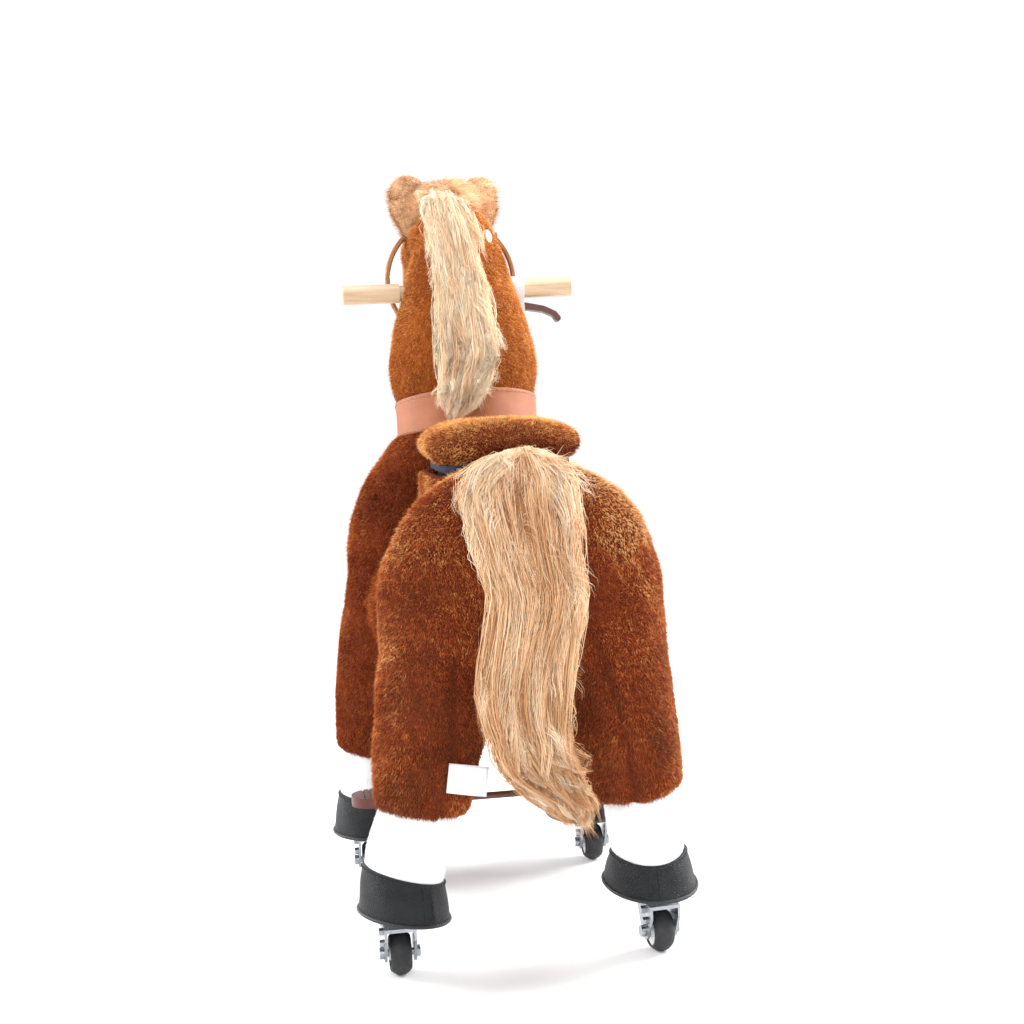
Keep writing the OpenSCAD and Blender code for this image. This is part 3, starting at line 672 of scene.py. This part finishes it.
def body_skin(name, node, body, seed):
    """Chest or rump: a stuffed plush shell, wrinkled across the legs and pulled in along its seams."""
    piece = from_node(name, node, MAT["brown_plush"], 5.0, 8)
    dent(piece, 120, 2.4, seed)
    co, normal = points_of(piece), normals_of(piece)
    z = co[:, 2] / MM
    on_leg = np.clip((400 - z) / 100, 0, 1) * np.clip((z - 200) / 30, 0, 1)
    folds = np.sin(z / 11 + 3.0 * lumps(co, 90, seed + 3, 1)) * np.clip(lumps(co, 80, seed + 4, 1), 0, 1)
    push = on_leg * folds * 1.3 + 2.0
    if node == "rear_body":
        push -= 4.5 * np.exp(-((seam_distance(co, normal) / 6.0) ** 2))
    push_out(piece, push)
    dress(piece, body, "brown_plush", node)
    return piece


front_skin = body_skin("front_body_plush", "front_body", "front_frame", 11)
rear_skin = body_skin("rear_body_plush", "rear_body", "rear_frame", 23)

FUR_SPACING = 1.9


def outside(points, normals):
    """Leaves the pile out on the flat faces where the two halves of the barrel meet."""
    y = (points[:, 1] - AXLE_Y) / MM
    inner = (np.abs(y) < 14) & (np.abs(normals[:, 1]) > 0.6)
    return ~inner


def pile(name, piece, body, slot, shades, comb, seed, keep=None, light=0.42, fibre_light=0.72):
    """Short dense plush: combed tufts, and among them fine pale fibres that stand up further, whose paleness
    is a painted golden sheen.
    """
    broad = 1.25
    fur(f"{name}_fur", piece, body, slot, shades, FUR_SPACING, 5.2, broad, comb, seed, keep=keep, light=light)
    # the fibres' paler tone (fibre_light) is painted sheen
    fur(f"{name}_fibres", piece, body, slot, shades, FUR_SPACING * 1.5, 6.4, 0.55, comb, seed + 1,
        lift=0.62, keep=keep, light=fibre_light)


def off_seams(points, normals):
    """Leaves the pile out along the rear legs' seams too."""
    return outside(points, normals) & (seam_distance(points, normals) > 1.3)


def rump_painted_light(points, normals):
    """Painted light and shade: darker low down, painted shade beside the seams, lighter on the right, and a
    painted golden backlight over the top of the rump.
    """
    z = points[:, 2] / MM
    # painted shade in the creases along the seams
    near = np.exp(-((seam_distance(points, normals) / 5.0) ** 2))
    # painted light: lighter on the right and, over the top, a painted golden backlight
    right = np.clip(points[:, 0] / MM / 150, 0, 1)
    high = np.clip((z - 440) / 110, 0, 1)
    above_legs = np.clip((z - 300) / 100, 0, 1)
    return 0.36 + high * (0.08 + 0.52 * right) - 0.45 * near + 0.08 * right + 0.07 * above_legs


pile("front_body", front_skin, "front_frame", "brown_plush", BROWN_TUFTS, FLOW_DOWN, 31, outside)
pile("rear_body", rear_skin, "rear_frame", "brown_plush", RUMP_TUFTS, FLOW_DOWN, 37,
     off_seams, rump_painted_light, 0.56)

# ------------ neck and head


def neck_height(points):
    """How far points lie up the neck's lean from its foot, in metres."""
    return (points - np.array(NECK_FOOT)) @ np.array(NECK_UP)


neck_skin = from_node("neck_plush", "neck_cover", MAT["golden_plush"], 5.0, 8)
dent(neck_skin, 90, 1.6, 41)
push_out(neck_skin, np.clip((neck_height(points_of(neck_skin)) / MM - 20) / 20, 0, 1) * 2.0)
dress(neck_skin, "neck", "neck_plush", "neck_cover")
head_skin = from_node("head_plush", "head", MAT["golden_plush"], 4.0, 6)
dent(head_skin, 50, 1.2, 43)
dress(head_skin, "neck", "neck_plush", "head")


def above_collar(points, normals):
    """Leaves the pile out where the collar covers the neck."""
    return neck_height(points) > 4 * MM


def neck_painted_light(points, normals):
    """Painted light: lighter on the side turned to the pony's right, as if lit from that side."""
    return 0.46 + 0.20 * np.clip(normals[:, 0], -0.3, 1)


pile("neck", neck_skin, "neck", "neck_plush", GOLDEN_TUFTS, FLOW_DOWN, 47, above_collar, neck_painted_light)
pile("head", head_skin, "neck", "neck_plush", GOLDEN_TUFTS, (0, 1, -0.6), 53)

# ------------ hooves

HOOF_IN = 5.0
HALF_TRACK = 148.0
HALF_BASE = 200.0
# rim height, height of the wall, degrees that the back seam is turned by, how far the rim
# rises towards the sides, how far the top edge and the rim drop towards the pony's right,
# half widths of the rim and of the top, and how far these two sit to the right
Stance = namedtuple("Stance", "low wall turn bow drop tip rim_half top_half rim_shift top_shift")
HOOF_STANCE = {
    ("front", -1): Stance(63, 50, 8, 0, 1, 0, 52, 43, 0, 0),
    ("front", 1): Stance(63, 50, -6, 0, 1, 0, 52, 43, 0, 0),
    ("rear", -1): Stance(66, 47, 25, 0, 11.5, 6.5, 50, 45, 2.5, 4),
    ("rear", 1): Stance(71, 42, -7, 8, -1, 3, 53.5, 43, 0, -1),
}
RIM_POINTS = 72


def side_name(side):
    """left for -1 and right for 1."""
    return "left" if side < 0 else "right"


def seam_turn(stance):
    """How far the back seam is turned about the leg, in radians."""
    return math.radians(stance.turn) * 0.5


def hoof_section(end, side, share, inset, angle):
    """A point on a hoof's wall: share goes up it from the rim to the top, inset is towards its middle."""
    stance = HOOF_STANCE[end, side]
    x = side * (HALF_TRACK - HOOF_IN)
    foot_y = HALF_BASE if end == "front" else -HALF_BASE
    across, along = math.sin(angle), math.cos(angle)
    rx = stance.rim_half + (stance.top_half - stance.rim_half) * share - inset
    ry = 64 - 11 * share - inset
    rx += 1.2 * math.sin(3 * angle + side) * share * (1 - share)
    rim = stance.low + stance.bow * min(1 - along, 1.2) - stance.tip * across
    top = stance.low + stance.wall + 3.0 - stance.drop * across - 3.0 * max(0.0, along)
    top += stance.bow * 0.6 * (across**2 - 0.5)
    dx, dy = rx * across, -ry * along
    t = seam_turn(stance)
    px = dx * math.cos(t) - dy * math.sin(t)
    py = dx * math.sin(t) + dy * math.cos(t)
    px += stance.rim_shift + (stance.top_shift - stance.rim_shift) * share
    return at(x + px, foot_y - 2 * share + py, rim + (top - rim) * share)


def hoof(end, side):
    """A leather cup with a rolled rim, a lapped back seam and a worn upper edge."""
    name, body = f"{end}_{side_name(side)}_hoof", f"{end}_frame"
    seam_at = seam_turn(HOOF_STANCE[end, side])
    profile = [(0.02, 5.5), (0.0, 3.0), (0.0, 0.6), (0.04, 0.0)]
    profile += [(s, 0.15 * math.sin(9 * s)) for s in np.linspace(0.1, 0.94, 12)]
    profile += [(0.985, 0.3), (1.0, 1.2), (1.0, 3.2), (0.97, 4.8), (0.6, 5.2)]
    rings = []
    for share, inset in profile:
        ring = []
        for angle in around(96):
            near_seam = math.exp(-((math.sin((angle - seam_at) / 2) * 9) ** 4))
            lap = 1.1 * near_seam if 0.03 < share < 0.99 and inset < 1 else 0
            crease = 0.5 * math.sin(7 * angle + 4 * share + side) * share * (1 - share) * 4
            ring.append(hoof_section(end, side, share, inset - lap - crease, angle))
        rings.append(ring)
    cup = loft(name + "_leather", rings, [MAT["hoof_leather"]], cap=False)
    solid = cup.modifiers.new("subdivide", "SUBSURF")
    solid.levels = solid.render_levels = 1
    apply_modifiers(cup)
    dress(cup, body, "hoof_leather", name)
    rim = [hoof_section(end, side, 0.01, 0.3, angle) for angle in around(RIM_POINTS)]
    piping = joined(name + "_piping", [cord_mesh(rim, 2.3 * MM, 10, True)], [MAT["hoof_piping"]])
    dress(piping, body, "hoof_leather")

    def on_wall(share, inset, angle):
        p = hoof_section(end, side, share, inset, angle)
        return p, (p - hoof_section(end, side, share, 8, angle)).normalized()

    up = np.linspace(0.08, 0.95, 60)
    seams = [[on_wall(share, -1.1, seam_at + lap) for share in up] for lap in (-0.105, 0.105)]
    seams.append([on_wall(0.93, -0.1, angle) for angle in around(360, 1)])
    stitches(name + "_stitches", seams, body, "hoof_leather", MAT["dark_thread"], 3.4, 1.8, 0.5)


for end, side in HOOF_STANCE:
    hoof(end, side)

# ------------ socks

# the middle of each hem, as x, y and z from the axle's middle, and the cuff's half width there
HEMS = {
    ("front", -1): (-129, 191, 172, 43),
    ("front", 1): (129, 191, 172, 43),
    ("rear", -1): (-117, -201, 186, 43),
    ("rear", 1): (134, -201, 186, 41),
}
HEM_RISE = 0.14


def sock(end, side):
    """A white plush cuff from inside the hoof's top up under the leg's hem."""
    x, y, z, half = HEMS[end, side]
    rings = []
    for share in np.linspace(0, 1, 17):
        ring = []
        for angle in around(RIM_POINTS):
            foot = hoof_section(end, side, 0.97, 2.5, angle)
            dx, dy = half * math.sin(angle), -(half + 5) * math.cos(angle)
            hem = at(x + dx, y + dy, z + 5 + HEM_RISE * side * dx)
            out = Vector((math.sin(angle), -math.cos(angle), 0))
            puff = 2.4 * math.sin(math.pi * min(share * 1.05, 1))
            puff += 0.7 * math.sin(3 * angle + 5 * share + side)
            ring.append(foot.lerp(hem, share**1.15) + out * puff * MM)
        rings.append(ring)
    cuff = loft(f"{end}_{side_name(side)}_sock_plush", rings, [MAT["white_plush"]])
    body = f"{end}_frame"
    # one CAD node holds both cuffs of an end, and the left one stands for it
    replaced = [f"{end}_socks"] if side < 0 else []
    dress(cuff, body, "white_plush", *replaced)
    fur(cuff.name.replace("plush", "fur"), cuff, body, "white_plush", WHITE_TUFTS,
        FUR_SPACING * 1.25, 3.4, 0.5, FLOW_DOWN, 61 + side,
        lift=0.4, ragged=0.2, keep=lambda p, n: np.abs(n[:, 2]) < 0.8)


for end, side in HEMS:
    sock(end, side)

# ------------ collar

COLLAR_R = 91.0


def collar():
    """A wide leather band that stands round the neck's foot, rolled at both edges."""
    profile = [(-5.2, -20), (-5.2, -21.5), (-3.6, -22.2), (-1.2, -22.0), (0, -20.6), (-0.3, -19)]
    profile += [(-0.25 - 0.5 * math.cos(z / 22 * math.pi / 2), z) for z in range(-16, 17, 4)]
    profile += [(-0.3, 23), (0, 24.6), (-1.2, 26.0), (-3.6, 26.2), (-5.2, 25.5), (-5.2, 20)]
    rings = []
    for inset, z in profile:
        ring = []
        for angle in around(160):
            wave = 0.35 * math.sin(5 * angle + 0.08 * z) + 0.25 * math.sin(11 * angle - 0.05 * z)
            r = COLLAR_R + inset + wave * (abs(z) < 19) - 0.3
            ring.append(up_neck(r * math.sin(angle), -r * math.cos(angle), z))
        rings.append(ring)
    rings.append(rings[0])
    band = loft("neck_collar_leather", rings, [MAT["collar_leather"]], cap=False)
    mesh = bmesh.new()
    mesh.from_mesh(band.data)
    bmesh.ops.remove_doubles(mesh, verts=mesh.verts, dist=1e-6)
    bmesh.ops.recalc_face_normals(mesh, faces=mesh.faces)
    mesh.to_mesh(band.data)
    mesh.free()
    dress(band, "front_frame", "collar_leather", "neck_collar")
    seams = []
    for z in (-18.2, 22.2):
        seam = []
        for angle in around(720, 1):
            across, along = math.sin(angle), -math.cos(angle)
            out = (up_neck(across, along, 0) - NECK_FOOT).normalized()
            r = COLLAR_R - 0.5
            seam.append((up_neck(r * across, r * along, z), out))
        seams.append(seam)
    stitches("neck_collar_stitches", seams, "front_frame", "collar_leather", MAT["tan_thread"], 4.0, 2.0, 0.4)


collar()

# ------------ bridle


def latch_roll():
    """A rolled edge round the throat latch, which gives the strap its body."""
    tilt, radius = math.radians(78), 83.0
    ring = []
    for angle in around(96):
        x, y = radius * math.cos(angle), radius * math.sin(angle)
        ring.append(at(-5 + x, 212 + y * math.cos(tilt), 781 + y * math.sin(tilt)))
    roll = joined("throat_latch_roll", [cord_mesh(ring, 3.3 * MM, 12, True)], [MAT["strap_leather"]])
    dress(roll, "neck", "strap_leather")


latch_roll()

# ------------ saddle


def cushion():
    """Crowned saddle pad with a welt near its top, swelled by cloth pressure.
    """
    low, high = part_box("saddle_cushion")
    middle, half = (low + high) / 2, (high - low) / 2
    piece = from_node("saddle_cushion_plush", "saddle_cushion", MAT["brown_plush"], 5.0, 1)
    co = points_of(piece)
    inner = np.array(middle) + (co - np.array(middle)) * (1 - 3.5 * MM / np.array(half))
    set_points(piece, inner)
    cloth = piece.modifiers.new("cloth", "CLOTH")
    cloth.settings.use_pressure = True
    cloth.settings.uniform_pressure_force = 4
    cloth.settings.effector_weights.gravity = 0
    cloth.settings.quality = 5
    scene = bpy.context.scene
    for frame_number in range(1, 21):
        scene.frame_set(frame_number)
    apply_modifiers(piece)
    scene.frame_set(1)
    moved = points_of(piece) - inner
    far = np.linalg.norm(moved, axis=1, keepdims=True)
    moved *= np.minimum(1, 7 * MM / np.maximum(far, 1e-9))
    swelled = inner + moved
    swelled = np.clip(swelled, np.array(low) - 2.5 * MM, np.array(high) + 2.5 * MM)
    swelled[:, 2] = np.maximum(swelled[:, 2], low.z)
    welt = high.z - 10 * MM
    near = np.exp(-(((swelled[:, 2] - welt) / (2.6 * MM)) ** 2))
    pull = unit((swelled - np.array(middle)) * np.array((1, 1, 0)))
    side = np.abs(normals_of(piece)[:, 2]) < 0.8
    swelled -= pull * (near * side * 5.0 * MM)[:, None]
    below = np.clip((welt - swelled[:, 2]) / (16 * MM), 0, 1) * side
    swelled += pull * (below * 4.0 * MM)[:, None]
    swelled[:, 2] -= np.where(swelled[:, 2] < low.z + 8 * MM, 4 * MM, 0.0)
    set_points(piece, swelled)
    dress(piece, "saddle", "saddle_plush", "saddle_cushion")
    return piece


cushion_skin = cushion()

CUSHION_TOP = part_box("saddle_cushion")[1].z / MM


def cushion_painted_light(points, normals):
    """Painted light and shade: a painted golden light over the left side, a painted highlight along the rim,
    and painted shade in the welt.
    """
    z = points[:, 2] / MM
    # painted highlight along the rim, painted shade in the welt, painted golden light on the left side
    rim = np.exp(-(((z - CUSHION_TOP + 4) / 4.0) ** 2))
    welt = np.exp(-(((z - CUSHION_TOP + 11) / 2.2) ** 2)) * (np.abs(normals[:, 2]) < 0.8)
    left = np.clip(-(points[:, 0] / MM + 8) / 30, 0, 1) * np.clip(0.9 - normals[:, 2], 0, 1)
    return 0.34 + 0.70 * left + 0.14 * rim - 0.6 * welt


pile("saddle_cushion", cushion_skin, "saddle", "saddle_plush", SADDLE_TUFTS,
     lambda p: unit((p - p.mean(0)) * (1, 1, -0.5)) + (0, 0, -0.3), 71, light=cushion_painted_light)
skirt_skin = from_node("saddle_skirt_plush", "saddle_skirt", MAT["brown_plush"], 4.0, 4)
dent(skirt_skin, 60, 1.0, 73)
dress(skirt_skin, "saddle", "saddle_plush", "saddle_skirt")
pile("saddle_skirt", skirt_skin, "saddle", "saddle_plush", SADDLE_TUFTS, FLOW_DOWN, 79,
     lambda p, n: n[:, 2] < 0.6, 0.55)

# ------------ tail, mane, forelock and ears

HAIR = 1.0


def wisps(rng, count, steps, size):
    """Slow sideways wander for each strand, growing towards its tip."""
    t = np.linspace(0, 1, steps)
    out = np.zeros((count, steps, 3))
    for waves in (1.0, 2.3, 4.1):
        phase = rng.uniform(0, 2 * math.pi, (count, 1, 3))
        power = rng.normal(scale=size / waves, size=(count, 1, 3))
        out += power * np.sin(2 * math.pi * waves * t[None, :, None] * 0.7 + phase) * t[None, :, None] ** 0.8
    return out * MM


def tress(
    name, sections, count, clumps, width, tones, body, seed, place, length, roots,
    spread=1.0, steps=14, parting_shade=0.0, flare=0.0, fade=0.0,
):
    """Long hair that follows a chain of sections.

    Each section is (x, y, z, half width, half depth) in millimetres, and place turns them
    into the frame. A strand keeps its place across the sections and belongs to a clump,
    which has its own root and end within the ranges roots and length. flare stands the
    tips off, fade darkens towards the end, and parting paints shade into the middle below
    the root, where the hair parts.
    """
    rng = np.random.default_rng(seed)
    sections = np.array(sections, float)
    clump = rng.integers(0, clumps, count)
    home = rng.normal(scale=0.52, size=(clumps, 2))
    home /= np.maximum(1, np.linalg.norm(home, axis=1, keepdims=True))
    offset = home[clump] + rng.normal(scale=0.17, size=(count, 2))
    clump_root = rng.uniform(*roots, clumps)
    clump_end = np.minimum(clump_root + rng.uniform(*length, clumps) * (1 - clump_root * 0.5), 1.0)
    root = np.clip(clump_root[clump] + rng.normal(scale=0.012, size=count), 0, 1)
    end = clump_end[clump] - rng.exponential(0.14, count).clip(0, 0.6) * (clump_end - clump_root)[clump]
    end = np.maximum(end, root + 0.04)
    s = np.linspace(0, 1, steps)[None, :]
    t = root[:, None] + (end - root)[:, None] * s
    at_t = smooth_line(sections, t)
    fan = 0.75 + 0.35 * s
    pinch = 1 - 0.88 * s**1.5
    u = (home[clump, 0][:, None] * fan + (offset[:, 0] - home[clump, 0])[:, None] * pinch) * spread
    v = (home[clump, 1][:, None] * fan + (offset[:, 1] - home[clump, 1])[:, None] * pinch) * spread
    rise = np.sin(np.clip(s / 0.25, 0, 1) * math.pi / 2)
    paths = np.empty((count, steps, 3))
    swing = flare * s**2 * rng.uniform(0.2, 1.0, clumps)[clump][:, None]
    paths[..., 0] = at_t[..., 0] + u * at_t[..., 3] + swing * np.tanh(2.5 * home[clump, 0])[:, None]
    paths[..., 1] = at_t[..., 1] + v * at_t[..., 4] * (0.35 + 0.65 * rise) - 0.7 * swing * (v < 0.4)
    paths[..., 2] = at_t[..., 2]
    flat = np.array([place(*p) for p in paths.reshape(-1, 3)]).reshape(count, steps, 3)
    shared = wisps(rng, clumps, steps, 7.0)[clump]
    flat = flat + shared + wisps(rng, count, steps, 1.3)
    tone = tones + 0.17 * rng.normal(size=clumps)[clump] + 0.12 * rng.normal(size=count)
    tone -= fade * root
    # painted shade down the middle below the root, where the hair parts
    off_middle, off_parting = home[clump, 0] / 0.25, (root - 0.09) / 0.08
    tone -= parting_shade * np.exp(-(off_middle**2)) * np.exp(-(off_parting**2))
    thick = width * rng.uniform(0.6, 1.3, count)
    strands(name, flat, thick, BLOND_HAIR, tone, body, "blond_hair")


TAIL = [
    (9, -240, 583, 8, 6), (4, -262, 577, 34, 12), (1, -284, 553, 56, 14), (0, -296, 522, 55, 16),
    (5, -304, 472, 48, 18), (12, -309, 428, 44, 19), (-1, -312, 367, 44, 19), (-7, -312, 322, 44, 18),
    (-4, -311, 278, 37, 17), (5, -309, 246, 37, 15), (22, -306, 222, 30, 12), (46, -304, 194, 13, 9),
    (55, -303, 172, 4, 4),
]
MANE = [
    (-16, -14, 293, 15, 8), (-19, -40, 286, 18, 11), (-18, -62, 270, 22, 12),
    (-14, -80, 240, 26, 12), (-11, -90, 190, 25, 12), (-7, -98, 145, 28, 12),
    (-6, -104, 95, 30, 12), (-4, -109, 60, 32, 12), (-12, -112, 30, 27, 11),
    (-17, -113, 8, 24, 9), (-30, -113, -14, 6, 5),
]
# each coat: its name, its strands and clumps, a strand's width, its tone, and its lie
TAIL_COATS = [
    ("hair", 7000, 220, 0.9, 0.42, dict(length=(0.6, 1.1), roots=(0.0, 0.12))),
    ("layers", 15000, 620, 0.62, 0.82, dict(
        length=(0.11, 0.24), roots=(0.0, 0.86), spread=1.02, parting_shade=1.1, flare=8.0, fade=0.50, steps=9)),
    ("wisps", 1500, 300, 0.5, 0.9, dict(
        length=(0.10, 0.2), roots=(0.0, 0.86), spread=1.05, flare=7.0, steps=9)),
]
MANE_COATS = [
    ("hair", 5000, 150, 0.85, 0.80, dict(length=(0.40, 0.9), roots=(0.0, 0.5))),
    ("layers", 9000, 380, 0.62, 0.97, dict(
        length=(0.14, 0.28), roots=(0.0, 0.82), spread=0.98, flare=9.0, steps=9)),
    ("wisps", 1300, 260, 0.5, 0.97, dict(
        length=(0.12, 0.24), roots=(0.0, 0.84), spread=1.1, flare=10.0, steps=9)),
]


def long_hair(node, body, shrink, sections, coats, seed, place):
    """A tail or mane: coats of hair over a core, which is shrunk so that it stays hidden."""
    core = from_node(f"{node}_core", node, MAT["blond_plush"], 5.0, 10)
    push_out(core, np.full(len(core.data.vertices), -shrink))
    dress(core, body, "blond_hair", node)
    for k, (coat, count, clumps, width, tones, lie) in enumerate(coats):
        tress(f"{node}_{coat}", sections, int(count * HAIR), clumps, width, tones, body,
              seed + k, place, **lie)


long_hair("tail", "rear_frame", 7, TAIL, TAIL_COATS, 101, at)
long_hair("mane", "neck", 6, MANE, MANE_COATS, 107, up_neck)

# the crown of the head, which the forelock and the ears' hair radiate from
POLL = np.array(at(-14, 180, 884))
forelock_core = from_node("forelock_core", "forelock", MAT["blond_plush"], 4.0, 6)
dress(forelock_core, "neck", "blond_hair", "forelock")
fur("forelock_hair", forelock_core, "neck", "blond_hair", BLOND_HAIR, FUR_SPACING * 0.8, 26, 0.7,
    lambda p: unit(p - POLL) * (3, 1.0, 1.6), 113, lift=0.10, ragged=0.14, light=0.10)

for side in (-1, 1):
    ear_name = f"{side_name(side)}_ear"
    ear = from_node(f"{ear_name}_plush", ear_name, MAT["blond_plush"], 3.0, 6)
    dress(ear, "neck", "blond_hair", ear_name)
    fur(f"{ear_name}_fur", ear, "neck", "blond_hair", BLOND_HAIR, FUR_SPACING * 0.8, 13, 0.65,
        lambda p: unit(p - POLL) * (3, 0.4, 1.6), 127 + side, lift=0.08, ragged=0.10, light=0.02)

# ------------ care label


def care_label():
    """A blank satin tag, sewn to the leg by its upper edge."""
    lean, turn = math.radians(8), math.radians(-6)
    corner = at(-93, -262, 214)
    wide, tall = 44 * MM, 33 * MM
    steps, rows = 12, 8
    points, faces = [], []
    for i in range(steps + 1):
        for j in range(rows + 1):
            u, v = i / steps, j / rows
            x = wide * u * math.cos(lean) + tall * (1 - v) * math.sin(lean)
            z = tall * (1 - v) * math.cos(lean) - wide * u * math.sin(lean)
            y = -(0.2 + 2.6 * math.sin(2.2 * u) * v) * MM
            points.append(corner + Matrix.Rotation(turn, 3, "Z") @ Vector((x, y, z)))
    for i in range(steps):
        for j in range(rows):
            a = i * (rows + 1) + j
            faces.append((a, a + 1, a + rows + 2, a + rows + 1))
    label = object_from("care_label_satin", points, faces, [MAT["label_satin"]])
    thick = label.modifiers.new("thick", "SOLIDIFY")
    thick.thickness = 0.35 * MM
    apply_modifiers(label)
    dress(label, "rear_frame", "white_tag", "care_label")


care_label()

# ------------ floor, light and camera


def area_light(name, place, aim, size, power):
    """A round lamp turned towards aim."""
    data = bpy.data.lights.new(name, "AREA")
    data.shape, data.size = "DISK", size
    data.energy = power
    lamp = in_scene(name, data)
    lamp.location = place
    lamp.rotation_euler = (Vector(aim) - Vector(place)).to_track_quat("-Z", "Y").to_euler()


def studio():
    """White floor, white surroundings and four soft lamps."""
    white = Shader("floor_white", Roughness=0.85)
    white.shader.inputs["Base Color"].default_value = (0.95, 0.95, 0.95, 1)
    corners = [(-40, -40, 0), (40, -40, 0), (40, 40, 0), (-40, 40, 0)]
    floor = object_from("floor", corners, [(0, 1, 2, 3)], [white.material], smooth=False)
    world = bpy.data.worlds.new("studio")
    bpy.context.scene.world = world
    world.use_nodes = True
    background = world.node_tree.nodes["Background"]
    background.inputs["Color"].default_value = (1, 1, 1, 1)
    background.inputs["Strength"].default_value = 1.05
    middle = (0, 0, 0.45)
    area_light("rim_left", (-1.9, 0.9, 1.2), middle, 1.2, 45)
    area_light("rim_right", (1.9, 0.5, 1.3), middle, 1.2, 65)
    area_light("fill", (-0.7, -2.6, 1.5), middle, 1.8, 20)
    area_light("top", (0.4, 0.0, 2.6), middle, 1.4, 22)


def camera():
    """The camera: behind, a little to the left, and slightly rolled."""
    yaw, pitch, roll = (math.radians(a) for a in (8.38, -5.37, -2.5))
    forward = Vector((math.sin(yaw) * math.cos(pitch), math.cos(yaw) * math.cos(pitch), math.sin(pitch)))
    level = Vector((math.cos(yaw), -math.sin(yaw), 0))
    above = level.cross(forward)
    right = level * math.cos(roll) + above * math.sin(roll)
    up = above * math.cos(roll) - level * math.sin(roll)
    data = bpy.data.cameras.new("camera")
    data.sensor_width = 36.0
    data.lens = 68.02
    made = in_scene("camera", data)
    turn = Matrix((right, up, -forward)).transposed()
    made.matrix_world = Matrix.Translation(at(-310.8, -2324.0, 713.0)) @ turn.to_4x4()
    bpy.context.scene.camera = made
    bpy.context.scene.view_settings.view_transform = "Standard"


studio()
camera()
